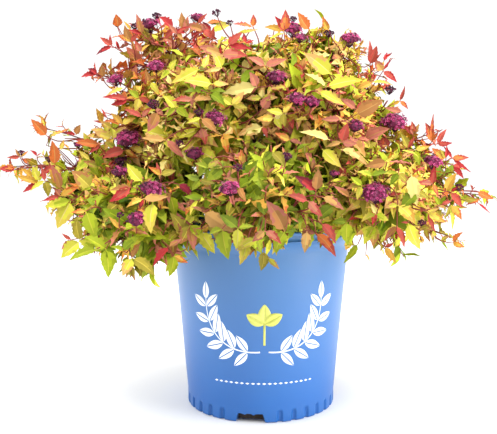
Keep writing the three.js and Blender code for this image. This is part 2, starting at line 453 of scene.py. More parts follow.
class Tint(Enum):
    """The plain colours of leaves, in sRGB. With each stand the tint that the leaf's rib takes, a little
    paler or redder, and the tints that its tip may turn."""

    DEEP_GREEN = ((72, 98, 14), "green", "deep_green")
    GREEN = ((120, 138, 22), "lime", "green lime")
    LIME = ((162, 174, 34), "chartreuse", "lime lime chartreuse")
    CHARTREUSE = ((207, 201, 64), "straw", "chartreuse gold apricot")
    GOLD = ((224, 200, 80), "straw", "gold amber apricot")
    STRAW = ((234, 214, 126), "straw", "straw apricot")
    OLIVE = ((166, 150, 50), "gold", "olive olive bronze")
    AMBER = ((218, 164, 66), "gold", "amber orange")
    APRICOT = ((224, 172, 98), "straw", "apricot tan")
    ORANGE = ((220, 118, 56), "apricot", "orange coral")
    TAN = ((206, 156, 86), "apricot", "tan salmon")
    BRONZE = ((176, 120, 64), "tan", "bronze salmon")
    SALMON = ((194, 114, 92), "tan", "salmon salmon coral")
    CORAL = ((192, 80, 66), "salmon", "coral red")
    RED = ((186, 50, 52), "coral", "red crimson")
    CRIMSON = ((136, 34, 50), "red", "crimson")

    @property
    def rib(self) -> "Tint":
        """The tint of the rib."""
        return Tint[self.value[1].upper()]

    @property
    def blushes(self) -> list["Tint"]:
        """The tints that the tip may turn."""
        return tints(self.value[2])

    def material(self, shade: int) -> bpy.types.Material:
        """The leaf material of this tint in one of its shades."""
        colour = tuple(round(part * SHADES[shade]) for part in self.value[0])
        return PlainFinish(f"leaf_{self.name.lower()}_{shade + 1}", colour, 0.6, 0.16).material()


def tints(names: str) -> list[Tint]:
    """The tints that a list of names gives."""
    return [Tint[name.upper()] for name in names.split()]


SHADES = (0.73, 0.85, 0.95, 1.04)  # factors on a tint: leaves of one spray differ a little by them, the darker ones are also painted shade in the skirt's front and on seen sprays, and neighbouring ones paint light and shade on a leaf's two halves


class Petal(Enum):
    """The plain colours of the flower heads, in sRGB."""

    MAGENTA = (158, 34, 92)
    PINK = (186, 72, 124)
    PALE = (198, 120, 162)
    WINE = (94, 18, 54)
    BUD = (60, 14, 42)

    def material(self) -> bpy.types.Material:
        """The material of this colour."""
        return PlainFinish(f"flower_{self.name.lower()}", self.value, 0.6, 0.25).material()


class Wood(Enum):
    """The plain colours of twigs, in sRGB."""

    OLD = (84, 44, 32)
    YOUNG = (128, 50, 42)

    def material(self) -> bpy.types.Material:
        """The twig material of this colour."""
        return PlainFinish(f"twig_{self.name.lower()}", self.value, 0.6, 0.3).material()


# ---- Meshes ----


@dataclass
class Surface:
    """Points and faces. Each block of faces has one count of corners, and each face the number of its
    material."""

    points: np.ndarray
    faces: list[np.ndarray]
    looks: list[np.ndarray]

    @staticmethod
    def plain(points: np.ndarray, *blocks: np.ndarray) -> "Surface":
        """Points and blocks of faces that all take the first material."""
        return Surface(points.reshape(-1, 3), list(blocks), [np.zeros(len(block), int) for block in blocks])

    @staticmethod
    def capped(rings: np.ndarray, low: Sequence[float], high: Sequence[float]) -> "Surface":
        """A closed surface: rings of points one above another, joined by quads, and a fan from the first ring
        to one pole and from the last ring to the other.

        Args:
            rings: rings by points by 3.
            low: the first ring's pole.
            high: the last ring's pole.

        Returns:
            The surface.
        """
        rows, count = rings.shape[:2]
        here, after = np.arange(count), (np.arange(count) + 1) % count
        top = (rows - 1) * count
        under = np.stack([np.full(count, rows * count), after, here], -1)
        over = np.stack([np.full(count, rows * count + 1), top + here, top + after], -1)
        points = np.concatenate([rings.reshape(-1, 3), [low, high]])
        return Surface.plain(points, grid_faces(rows, count, wrap=True), under, over)

    @staticmethod
    def joined(parts: Sequence["Surface"]) -> "Surface":
        """Several surfaces as one.

        Args:
            parts: the surfaces.

        Returns:
            One surface with their points and faces in order.
        """
        starts = np.cumsum([0] + [len(p.points) for p in parts])
        return Surface(
            np.concatenate([p.points for p in parts]),
            [block + start for p, start in zip(parts, starts) for block in p.faces],
            [look for p in parts for look in p.looks],
        )

    @staticmethod
    def repeated(points: np.ndarray, faces: Sequence[np.ndarray], looks: Sequence[np.ndarray]) -> "Surface":
        """Many copies of one pattern of faces, each with its own points.

        Args:
            points: copies by points by 3.
            faces: the pattern's blocks of faces.
            looks: for each block, copies by faces, or faces alone where all copies look alike.

        Returns:
            One surface.
        """
        copies, each = points.shape[:2]
        start = (np.arange(copies) * each)[:, None, None]
        blocks = [(block[None] + start).reshape(-1, block.shape[1]) for block in faces]
        dealt = [np.broadcast_to(look, (copies, len(block))).ravel() for look, block in zip(looks, faces)]
        return Surface(points.reshape(-1, 3), blocks, dealt)

    def object(
        self, name: str, materials: Sequence[bpy.types.Material], smooth: bool = True
    ) -> bpy.types.Object:
        """Fills a mesh and links an object that holds it.

        Args:
            name: the piece's name.
            materials: the materials that the looks number.
            smooth: whether faces are shaded smooth.

        Returns:
            The object, at the origin.
        """
        mesh = bpy.data.meshes.new(name)
        corners = np.concatenate([block.ravel() for block in self.faces])
        sizes = np.concatenate([np.full(len(block), block.shape[1]) for block in self.faces])
        mesh.vertices.add(len(self.points))
        mesh.vertices.foreach_set("co", (self.points * MM).astype(np.float32).ravel())
        mesh.loops.add(len(corners))
        mesh.loops.foreach_set("vertex_index", corners.astype(np.int32))
        mesh.polygons.add(len(sizes))
        mesh.polygons.foreach_set("loop_start", (np.cumsum(sizes) - sizes).astype(np.int32))
        mesh.polygons.foreach_set("material_index", np.concatenate(self.looks).astype(np.int32))
        mesh.polygons.foreach_set("use_smooth", np.full(len(sizes), smooth))
        mesh.update(calc_edges=True)
        mesh.validate()
        for material in materials:
            mesh.materials.append(material)
        made = bpy.data.objects.new(name, mesh)
        bpy.context.scene.collection.objects.link(made)
        return made


def settle(piece: bpy.types.Object, slot: Slot, *nodes: str) -> None:
    """Hangs a finished piece under the root body, hides the CAD nodes that it stands for, and reports it.

    Args:
        piece: the object.
        slot: the record's material slot; not used.
        nodes: the CAD nodes that it stands for.
    """
    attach(piece, "root")
    if nodes:
        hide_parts(*nodes)
    stands_for = ", ".join(nodes) or "nothing"
    log.info("%s: %d faces, stands for %s", piece.name, len(piece.data.polygons), stands_for)


def tubes(lines: np.ndarray, radii: np.ndarray, sides: int, looks: np.ndarray) -> Surface:
    """Closed round tubes along lines: each point moves out by its radius, on the two directions square to
    the line, by the cosine and sine of its angle. Both ends are closed by one face.

    Args:
        lines: tubes by rings by 3.
        radii: tubes by rings, or tubes by rings by sides where a tube isn't round.
        sides: points round a ring.
        looks: the material number of each tube.

    Returns:
        One surface.
    """
    count, rings = lines.shape[:2]
    along = unit(np.gradient(lines, axis=1))
    chord = np.abs(unit(lines[:, -1] - lines[:, 0]))
    least = np.eye(3)[np.argmin(chord, axis=-1)]
    side = square_to(along, np.broadcast_to(least[:, None], along.shape))
    other = np.cross(along, side)
    angle = ring_angles(sides)
    spoke = side[:, :, None] * np.cos(angle)[:, None] + other[:, :, None] * np.sin(angle)[:, None]
    reach = radii if radii.ndim == 3 else radii[:, :, None]
    points = lines[:, :, None] + spoke * reach[..., None]
    first = np.arange(sides)[None, ::-1]
    last = np.arange(sides)[None] + (rings - 1) * sides
    wall = grid_faces(rings, sides, wrap=True)
    blocks = [wall, first, last]
    return Surface.repeated(points.reshape(count, -1, 3), blocks, [looks[:, None]] * len(blocks))


# ---- Pot ----


@dataclass
class Pot:
    """The tapered nursery pot: a wall with a band round its mouth, grooves and drain notches at its foot."""

    height: float = 230.0
    rim_radius: float = 113.5
    band_height: float = 12.0
    band_step: float = 1.8
    band_hollow: float = 1.6  # how far the band's face lies behind the beads along its edges
    foot_radius: float = 94.0
    foot_height: float = 18.0
    foot_thickness: float = 5.5
    wall: float = 2.0
    floor: float = 3.0
    pitches: int = 33
    flute_radius: float = 3.4
    flute_height: float = 15.0
    flute_outset: float = 0.4
    notches: int = 3
    notch_turn: float = 261.5
    notch_height: float = 11.0
    notch_half: float = 18.5
    notch_half_top: float = 15.0
    notch_depth: float = 14.0
    teeth: Pair = (-7.0, 4.0)  # where the notch's top edge dips, along the wall
    tooth_drop: float = 1.7
    tooth_half: float = 2.6
    finish: PotPlastic = field(default_factory=PotPlastic)

    # The mouth's profiles, as steps out and up: from the rim's radius and the band's foot, from the rim's
    # radius and the pot's height, and from the wall's inside and the pot's height.
    lower_bead = ((-1.0, -0.7), (-0.2, -0.4), (0.0, 0.1), (-0.2, 0.6), (-0.9, 1.5))
    upper_bead = ((-0.5, -2.4), (-0.1, -2.0), (-0.2, -1.5), (-1.2, -0.5), (-1.8, 0.0))
    lip = ((0.9, 0.0), (0.3, -0.3), (0.0, -1.2))
    band_shares = (0.4, 0.6, 0.75)  # heights of the hollow face's rings, as shares of the band
    foot_shares = (0.0, 0.25, 0.5, 0.68, 0.8, 0.9, 1.0)  # heights of the foot's rings
    wall_rings = 14
    inside_rings = 7
    foot_round = 2.2  # how far the lower edge is rounded where it stands on the ground
    notch_round = 0.4  # and over a notch

    # Places round one pitch, from a groove's centre line, close together where the groove bends.
    pitch_samples = (-8.8, -6.4, -4.6, -3.7, -3.2, -2.6, -1.8, -0.9, 0.0, 0.9, 1.8, 2.6, 3.2, 3.7, 4.6, 6.4)

    def wall_radius(self, height: Amount) -> Amount:
        """The wall's outer radius at a height, on one slope from the foot's top to the band."""
        top = self.height - self.band_height
        share = (height - self.foot_height) / (top - self.foot_height)
        return lerp(self.foot_radius, self.rim_radius - self.band_step, share)

    def inside_radius(self, height: Amount) -> Amount:
        """The wall's inner radius at a height."""
        return self.wall_radius(height) - self.wall

    def columns(self) -> np.ndarray:
        """The angles round the pot, in radians from the first notch's middle."""
        pitch = 2.0 * math.pi / self.pitches
        offsets = np.array(self.pitch_samples) / self.foot_radius
        return (np.arange(self.pitches)[:, None] * pitch + offsets[None]).ravel()

    def from_notch(self, angle: np.ndarray) -> np.ndarray:
        """The way along the wall from the nearest notch's middle, in millimetres."""
        between = 2.0 * math.pi / self.notches
        return ((angle + between / 2.0) % between - between / 2.0) * self.foot_radius

    def lower_edge(self, angle: np.ndarray) -> np.ndarray:
        """Where the wall ends below: at the ground, or along a notch's slanted sides and toothed top.

        Args:
            angle: radians from the first notch's middle.

        Returns:
            The edge's height at each angle.
        """
        off = self.from_notch(angle)
        slant = np.clip((self.notch_half - np.abs(off)) / (self.notch_half - self.notch_half_top), 0.0, 1.0)
        beside = [np.abs(off - tooth) / self.tooth_half for tooth in self.teeth]
        dips = sum(np.clip(1.0 - share, 0.0, 1.0) ** 0.8 for share in beside)
        return slant * (self.notch_height - self.tooth_drop * dips)

    def is_notch(self, angle: np.ndarray) -> np.ndarray:
        """Whether the wall ends above the ground at an angle."""
        return self.lower_edge(angle) > 0.5

    def groove(self, angle: np.ndarray, height: np.ndarray) -> np.ndarray:
        """How deep the grooves are: a capsule's radius less its distance to the groove's axis, which
        stands a little outside the wall. Next to a notch there is no groove.

        Args:
            angle: radians from the first notch's middle.
            height: heights of the same shape.

        Returns:
            The depth, nought between the grooves.
        """
        pitch = 2.0 * math.pi / self.pitches
        number = np.round(angle / pitch)
        off = (angle - number * pitch) * self.foot_radius
        per_notch = self.pitches // self.notches
        beside = np.minimum(number % per_notch, per_notch - number % per_notch) <= 1
        above = np.maximum(height - (self.flute_height - self.flute_radius), 0.0)
        inside = self.flute_radius**2 - off**2 - above**2
        depth = np.sqrt(np.maximum(inside, 0.0)) - self.flute_outset
        return np.where(beside, 0.0, np.maximum(depth, 0.0))

    def profile(self, angle: np.ndarray) -> list[tuple[Amount, Amount]]:
        """The wall's profile, from the inside of its lower edge, up the outside and down the inside.

        Args:
            angle: radians from the first notch's middle, which the lower edge follows.

        Returns:
            The radius and the height of each ring.
        """
        edge = self.lower_edge(angle)
        lift = np.where(self.is_notch(angle), self.notch_round, self.foot_round)
        base = edge + lift
        band = self.height - self.band_height
        outer = self.rim_radius
        ring_in = self.foot_radius - self.foot_thickness
        rows: list[tuple[Amount, Amount]] = [(ring_in, edge), (self.foot_radius - lift, edge)]
        rows.append((self.foot_radius - 0.3 * lift, edge + 0.3 * lift))
        rows += [(self.foot_radius, lerp(base, self.foot_height, share)) for share in self.foot_shares]
        for share in np.linspace(0.0, 1.0, self.wall_rings + 1)[1:]:
            level = lerp(self.foot_height, band - 0.6, share)
            rows.append((self.wall_radius(level), level))
        rows += [(outer + out, band + up) for out, up in self.lower_bead]
        rows.append((outer - self.band_hollow, band + 2.5))
        rows += [(outer - self.band_hollow, lerp(band, self.height, share)) for share in self.band_shares]
        rows += [(outer + out, self.height + up) for out, up in self.upper_bead]
        rows += [(self.inside_radius(self.height) + out, self.height + up) for out, up in self.lip]
        for share in np.linspace(0.0, 1.0, self.inside_rings + 1)[1:]:
            level = lerp(self.height - 1.2, self.foot_height + 6.0, share)
            rows.append((self.inside_radius(level), level))
        rows.append((ring_in, self.foot_height))
        return rows

    def wall_surface(self) -> Surface:
        """The wall as a closed ring: its profile carried round the axis, with the outer face sunk into the
        grooves.

        Returns:
            The wall.
        """
        angle = self.columns()
        rows = self.profile(angle)
        radius, height = (np.stack([value + 0.0 * angle for value in values]) for values in zip(*rows))
        outside = np.zeros(len(rows), bool)
        outside[1 : 3 + len(self.foot_shares)] = True
        depth = np.where(outside[:, None], self.groove(np.broadcast_to(angle, height.shape), height), 0.0)
        faces = grid_faces(len(rows) + 1, len(angle), wrap=True) % (len(rows) * len(angle))
        return Surface.plain(round_axis(radius - depth, angle + math.radians(self.notch_turn), height), faces)

    def floor_surface(self) -> Surface:
        """The floor: a disc with a thickness, drawn in where a notch reaches under it.

        Returns:
            The floor.
        """
        angle = self.columns()
        drawn_in = np.where(self.is_notch(angle), self.notch_depth, self.foot_thickness - 1.0)
        outline = round_axis(self.foot_radius - drawn_in, angle + math.radians(self.notch_turn), 0.0)
        inner = 0.35  # the share of the outline's reach where the quads give way to a fan
        profile = [(inner, 0.0), (1.0, 0.0), (1.0, self.floor), (inner, self.floor)]
        rings = np.stack([share * outline + level * UP for share, level in profile])
        return Surface.capped(rings, 0.0 * UP, self.floor * UP)

    def build(self) -> None:
        """Makes the pot's piece, which stands for the pot."""
        shell = Surface.joined([self.wall_surface(), self.floor_surface()])
        settle(shell.object("pot_shell", [self.finish.material()]), Slot.POT, "pot")


@dataclass
class PotPrint:
    """A white print on the pot's front: two leafy sprigs that curve up round a small green seedling, over a
    row of lozenges."""

    pot: Pot
    azimuth: float = 271.5
    stem: tuple[Pair, ...] = ((5.0, 88.0), (42.0, 84.0), (76.0, 104.0), (74.0, 152.0))
    stem_half: float = 0.9
    leaf_pairs: int = 6
    leaf_length: float = 25.0
    leaf_half: float = 5.6
    leaf_angle: float = 50.0
    rib_half: float = 0.6
    leaf_shares: Pair = (0.14, 0.88)  # where a sprig's first and last pair stand
    leaf_stalk: float = 1.6
    stalk: tuple[float, ...] = (96.0, 106.0, 122.0)  # heights along the seedling's stalk
    seedling_turns: tuple[float, ...] = (90.0, 28.0, 152.0)
    seedling_length: float = 24.0
    seedling_half: float = 7.5
    stroke_half: float = 1.3  # of the seedling's stalk and of a lozenge
    lozenge_half: float = 2.4
    lozenges: int = 19
    lozenge_pitch: float = 6.6
    lozenge_height: float = 49.0
    film: float = 0.18
    sunk: float = 0.04  # how far the film's back lies in the wall
    white: Stops = ((0.3, (222, 229, 242)), (0.7, (240, 244, 251)))
    green: Stops = ((0.3, (188, 192, 84)), (0.7, (204, 206, 104)))

    def on_wall(self, flat: np.ndarray) -> np.ndarray:
        """Wraps flat points, of width along the wall and height, onto the wall's outside."""
        radius = self.pot.wall_radius(flat[..., 1]) - self.sunk
        return round_axis(radius, math.radians(self.azimuth) + flat[..., 0] / radius, flat[..., 1])

    def blade(self, root: np.ndarray, angle: float, length: float, low: float, high: float) -> Surface:
        """Half a printed leaf: the strip between two lines that run from its root to its tip, one near the
        rib and one on the outline. The outline stands off by the sine of its share, to the power 0.8.

        Args:
            root: where the leaf starts, on the flat.
            angle: its direction in radians.
            length: its length.
            low: the inner line's offset, with its side as sign.
            high: the outline's greatest offset, with its side as sign.

        Returns:
            The strip on the wall.
        """
        share = np.linspace(0.0, 1.0, 17)
        swell = np.sin(math.pi * share**0.85) ** 0.8
        inner = np.where(swell > 0, np.minimum(abs(low), abs(high) * swell), 0.0) * np.sign(high)
        lines = np.stack([inner, (inner + high * swell) / 2.0, high * swell], axis=-1)
        along = np.array([math.cos(angle), math.sin(angle)])
        across = np.array([-along[1], along[0]])
        flat = root + share[:, None, None] * length * along + lines[..., None] * across
        faces = grid_faces(len(share), 3)
        return Surface.plain(self.on_wall(flat), faces if high < 0 else faces[:, ::-1])

    def strip(self, line: np.ndarray, half: np.ndarray) -> Surface:
        """A band along a flat line, as wide as half to each side.

        Args:
            line: points of width and height.
            half: half the band's width at each.

        Returns:
            The band on the wall.
        """
        along = unit(np.gradient(line, axis=0))
        across = np.stack([-along[:, 1], along[:, 0]], axis=-1)
        flat = np.stack([line - across * half[:, None], line, line + across * half[:, None]], axis=1)
        faces = grid_faces(len(line), 3)[:, ::-1]
        return Surface.plain(self.on_wall(flat), faces)

    def leaf(self, root: np.ndarray, angle: float, length: float, half: float, rib: float) -> list[Surface]:
        """Both halves of a printed leaf."""
        return [self.blade(root, angle, length, rib, side * half) for side in (-1, 1)]

    def sprig(self, side: int) -> list[Surface]:
        """One sprig, to the right or, with -1, mirrored to the left.

        Args:
            side: 1 or -1.

        Returns:
            The stem and its leaves.
        """
        path = bezier([np.array([side * x, z, 0.0]) for x, z in self.stem], 40)[:, :2]
        parts = [self.strip(path, np.linspace(self.stem_half, 0.5 * self.stem_half, len(path)))]
        shares = np.linspace(*self.leaf_shares, self.leaf_pairs)
        for share, turn in [*((share, turn) for share in shares for turn in (-1, 1)), (1.0, 0)]:
            spot = min(int(share * len(path)), len(path) - 2)
            heading = math.atan2(*(path[spot + 1] - path[spot - 1])[::-1])
            angle = heading + turn * math.radians(self.leaf_angle)
            size = 1.0 - 0.3 * abs(share - 0.45)
            root = path[spot] + self.leaf_stalk * abs(turn) * np.array([math.cos(angle), math.sin(angle)])
            parts += self.leaf(root, angle, size * self.leaf_length, size * self.leaf_half, self.rib_half)
        return parts

    def row_of_lozenges(self) -> list[Surface]:
        """The row: each lozenge is a strip that is widest in its middle.

        Returns:
            The lozenges.
        """
        middles = (np.arange(self.lozenges) - (self.lozenges - 1) / 2.0) * self.lozenge_pitch
        span = np.linspace(-self.lozenge_half, self.lozenge_half, 3)
        level = np.full(3, self.lozenge_height)
        half = np.array([0.05, self.stroke_half, 0.05])
        return [self.strip(np.stack([middle + span, level], axis=-1), half) for middle in middles]

    def seedling(self) -> list[Surface]:
        """The seedling: a stalk and three leaves, in the second ink.

        Returns:
            The stalk and the leaves.
        """
        stalk = np.stack([np.zeros(len(self.stalk)), self.stalk], axis=-1)
        parts = [self.strip(stalk, np.full(len(stalk), self.stroke_half))]
        for turn in self.seedling_turns:
            parts += self.leaf(stalk[-1], math.radians(turn), self.seedling_length, self.seedling_half, 0.0)
        for surface in parts:
            surface.looks = [np.ones_like(look) for look in surface.looks]
        return parts

    def build(self) -> None:
        """Makes the print's piece."""
        parts = [*self.sprig(1), *self.sprig(-1), *self.row_of_lozenges(), *self.seedling()]
        inks = [
            NoisyFinish(name, stops, 60.0, roughness=0.45, relief=0.00005).material()
            for name, stops in (("white_ink", self.white), ("green_ink", self.green))
        ]
        piece = Surface.joined(parts).object("pot_print", inks)
        solidify = piece.modifiers.new("film", "SOLIDIFY")
        solidify.thickness = self.film * MM
        solidify.offset = 1.0
        settle(piece, Slot.PRINT)


@dataclass
class Soil:
    """The potting mix in the pot, uneven on top, and the chips of bark that lie on it."""

    pot: Pot
    top: float = 205.0
    gap: float = 0.3
    unevenness: float = 1.3
    sides: int = 96
    top_rings: int = 26
    chips: int = 640
    least_half: Triple = (3.0, 1.6, 0.7)  # half a chip's length, width and thickness
    most_half: Triple = (7.0, 3.6, 1.5)
    tilt: float = 0.28
    stem_room: float = 30.0
    edge_room: float = 7.0
    seed: int = 5
    mix: NoisyFinish = NoisyFinish(
        "potting_mix", ((0.3, (24, 17, 13)), (0.55, (46, 34, 26)), (0.75, (72, 54, 40))), 260.0,
        roughness=0.95, relief=0.0015,
    )
    bark: NoisyFinish = NoisyFinish(
        "bark_chip", ((0.25, (34, 21, 15)), (0.5, (70, 44, 30)), (0.75, (112, 76, 52))), 120.0,
        roughness=0.9,
    )

    def relief(self, x: np.ndarray, y: np.ndarray) -> np.ndarray:
        """The top's height over its level: a few waves that cross each other."""
        waves = ((0.21, 0.13, 0.0), (0.09, -0.27, 1.0), (0.33, 0.31, 2.0))
        return self.unevenness * sum(np.sin(a * x + b * y + start) for a, b, start in waves) / len(waves)

    def body(self) -> Surface:
        """The mix: one profile carried round the axis, whose top rings rise and fall with the relief.

        Returns:
            The mix.
        """
        pot = self.pot
        inner = pot.foot_radius - pot.foot_thickness - self.gap
        reach = pot.inside_radius(self.top) - self.gap
        step = pot.foot_height + 6.0
        low = pot.floor + self.gap
        side = [(0.4 * inner, low), (inner, low), (inner, pot.foot_height)]
        side += [(pot.inside_radius(step) - self.gap, step + self.gap), (reach, self.top - self.unevenness)]
        over = [(share * reach, self.top) for share in np.linspace(0.985, 0.04, self.top_rings)]
        radius, height = np.array(side + over).T[..., None]
        points = round_axis(radius, ring_angles(self.sides), height)
        top = points[len(side) :]
        top[..., 2] += self.relief(top[..., 0], top[..., 1])
        return Surface.capped(points, low * UP, self.top * UP)

    def mulch(self) -> Surface:
        """Bark chips: six-sided slabs with uneven corners, each turned its own way and laid on the mix.

        Returns:
            The chips.
        """
        draw = np.random.default_rng(self.seed)
        reach = self.pot.inside_radius(self.top) - self.edge_room
        distance = np.sqrt(draw.uniform(self.stem_room**2, reach**2, self.chips))
        angle = draw.uniform(0.0, 2.0 * math.pi, self.chips)
        half = draw.uniform(self.least_half, self.most_half, (self.chips, 3))
        corner = np.array([[x, y, z] for z in (-1, 1) for y in (-1, 1) for x in (-1, 1)], float)
        shape = corner[None] * half[:, None] * draw.uniform(0.72, 1.1, (self.chips, 8, 3))
        heading = draw.uniform(0.0, 2.0 * math.pi, self.chips)
        normal = unit(UP + draw.normal(0.0, self.tilt, (self.chips, 3)))
        along = square_to(normal, round_axis(1.0, heading, 0.0))
        place = round_axis(distance, angle, self.top + draw.uniform(0.3, 2.4, self.chips))
        place[:, 2] += self.relief(place[:, 0], place[:, 1])
        faces = np.array([[0, 2, 3, 1], [4, 5, 7, 6], [0, 1, 5, 4], [2, 6, 7, 3], [0, 4, 6, 2], [1, 3, 7, 5]])
        slabs = carried(shape, place, along, np.cross(normal, along), normal)
        return Surface.repeated(slabs, [faces], [np.zeros(len(faces), int)])

    def build(self) -> None:
        """Makes the mix, which stands for the soil, and its chips."""
        settle(self.body().object("soil_mix", [self.mix.material()]), Slot.SOIL, "soil")
        settle(self.mulch().object("bark_mulch", [self.bark.material()], smooth=False), Slot.SOIL)


# ---- How the shrub grows ----


@dataclass(frozen=True)
class Palette:
    """The names of the tints of one neighbourhood's shoots, from their tips to their oldest leaves."""

    young: str
    middle: str
    old: str
    warmth: float = 0.35  # the share of a shoot's leaves that still have young colours
    shades: tuple[int, ...] = (1, 2, 3)  # the shades of each tint that its leaves are dealt, whose first is also the painted shade of its seen sprays


class Autumn(Enum):
    """The neighbourhoods of the crown by colour."""

    EMBER = Palette(
        "coral red bronze salmon orange", "tan amber bronze gold olive", "gold chartreuse olive lime", 0.32
    )
    GILT = Palette(
        "tan amber salmon straw", "chartreuse straw chartreuse gold", "chartreuse chartreuse gold lime", 0.21
    )
    ROSE = Palette(
        "salmon coral amber tan", "olive gold tan chartreuse gold", "lime chartreuse olive lime", 0.27
    )
    MEADOW = Palette(
        "tan amber coral gold", "chartreuse lime gold olive", "lime green green chartreuse", 0.18
    )
    COPPER = Palette(
        "coral orange salmon amber", "amber lime chartreuse olive chartreuse", "lime olive green lime", 0.18
    )
    THICKET = Palette(
        "salmon bronze olive amber", "olive lime green green", "green deep_green olive green", 0.2
    )
    # The thicket's tints dealt one shade darker, as painted shade on the front of the skirt.
    BRAKE = replace(THICKET, shades=(0, 1, 2))
    SHADE = Palette("lime chartreuse", "lime green", "green lime green deep_green", 0.2)


@dataclass(frozen=True)
class Spot:
    """Where one mass of foliage is, how far apart its shoots end, and its colours."""

    name: str
    azimuth: float
    distance: float
    height: float
    colours: Autumn
    spread: float = 21.0
    is_loose: bool = False  # without shoots in its shade, so that the sky shows between its leaves

    @property
    def middle(self) -> np.ndarray:
        """The middle of the mass."""
        return around(self.azimuth, self.distance, self.height)


@dataclass(frozen=True)
class Tier:
    """One storey of the crown: where its boughs leave the foot and bend, and its masses."""

    prefix: str
    slot: Slot
    foot_distance: float
    foot_height: float
    bend: float
    spots: tuple[Spot, ...]


@dataclass(frozen=True)
class Lone:
    """A shoot that stands out of the crown: where its tip is, and how high it leaves the other leaves."""

    name: str
    azimuth: float
    distance: float
    height: float
    leave: float
    colours: Autumn = Autumn.COPPER
    leaf_gap: float = 11.0
    start_share: float = 0.5  # how far out the shoot parts from the boughs, as a share of its tip's distance
    leave_share: float = 0.72  # and how far out it leaves the leaves
    start_level: float = 250.0
    start_lift: float = 0.35  # the share of the way from where it leaves to the start's level
    arch: float = 6.0

    def line(self, count: int) -> np.ndarray:
        """The shoot's line: from inside the crown, out past where it leaves the leaves, to the tip.

        Args:
            count: how many points.

        Returns:
            The line, a cubic Bezier curve.
        """
        root = around(self.azimuth, self.distance * self.leave_share, self.leave)
        tip = around(self.azimuth, self.distance, self.height)
        start_height = lerp(self.leave, self.start_level, self.start_lift)
        start = around(self.azimuth, self.distance * self.start_share, start_height)
        past_root = root + 0.2 * (root - start)
        return bezier([start, past_root, root + 0.5 * (tip - root) + self.arch * UP, tip], count)


SKIRT = Tier(
    "skirt", Slot.SKIRT, 14.0, 217.0, 62.0,
    (
        Spot("right", 0, 176, 276, Autumn.COPPER),
        Spot("back_right", 45, 180, 274, Autumn.MEADOW),
        Spot("back", 90, 186, 272, Autumn.GILT),
        Spot("back_left", 135, 190, 266, Autumn.MEADOW),
        Spot("left", 180, 198, 272, Autumn.MEADOW),
        Spot("front_left", 222, 188, 248, Autumn.THICKET),
        # The front mass takes the thicket's tints in painted shade.
        Spot("front", 270, 166, 278, Autumn.BRAKE),
        Spot("front_right", 315, 172, 272, Autumn.MEADOW),
    ),
)
SHOULDER = Tier(
    "shoulder", Slot.SHOULDER, 11.0, 225.0, 36.0,
    (
        Spot("right", 0, 104, 364, Autumn.COPPER),
        Spot("back_right", 60, 110, 366, Autumn.ROSE),
        Spot("back_left", 120, 114, 364, Autumn.GILT),
        Spot("left", 180, 120, 368, Autumn.ROSE),
        Spot("front_left", 240, 116, 362, Autumn.GILT),
        Spot("front_right", 300, 108, 360, Autumn.ROSE),
    ),
)
TOP = Tier(
    "top", Slot.TOP, 6.0, 231.0, 12.0,
    (
        Spot("right", 355, 68, 420, Autumn.GILT),
        Spot("back", 108, 78, 402, Autumn.COPPER),
        Spot("left", 182, 114, 430, Autumn.EMBER, 27.0, True),
        Spot("front", 262, 74, 408, Autumn.GILT),
    ),
)
TIERS = (SKIRT, SHOULDER, TOP)
LONE_SHOOTS = (
    Lone("far_left", 183, 328, 298, 302),
    Lone("upper_left", 176, 290, 350, 328),
    Lone("high_left", 181, 222, 416, 402, Autumn.EMBER),
    Lone("high_right", 6, 168, 428, 402, Autumn.EMBER),
    Lone("mid_right", 352, 232, 348, 324, Autumn.EMBER),
    Lone("far_right", 358, 292, 262, 268),
    Lone("low_right", 346, 248, 212, 234),
    Lone("low_front", 324, 187, 200, 232, Autumn.ROSE),
    Lone("back_right", 62, 272, 314, 292),
    Lone("back_left", 124, 276, 300, 286),
)

# The frame's foliage nodes: each mass with its storey and spot, and each lone shoot.
HOMES = {f"{tier.prefix}_{spot.name}": (tier, spot) for tier in TIERS for spot in tier.spots}
LONES = {f"shoot_{lone.name}": lone for lone in LONE_SHOOTS}


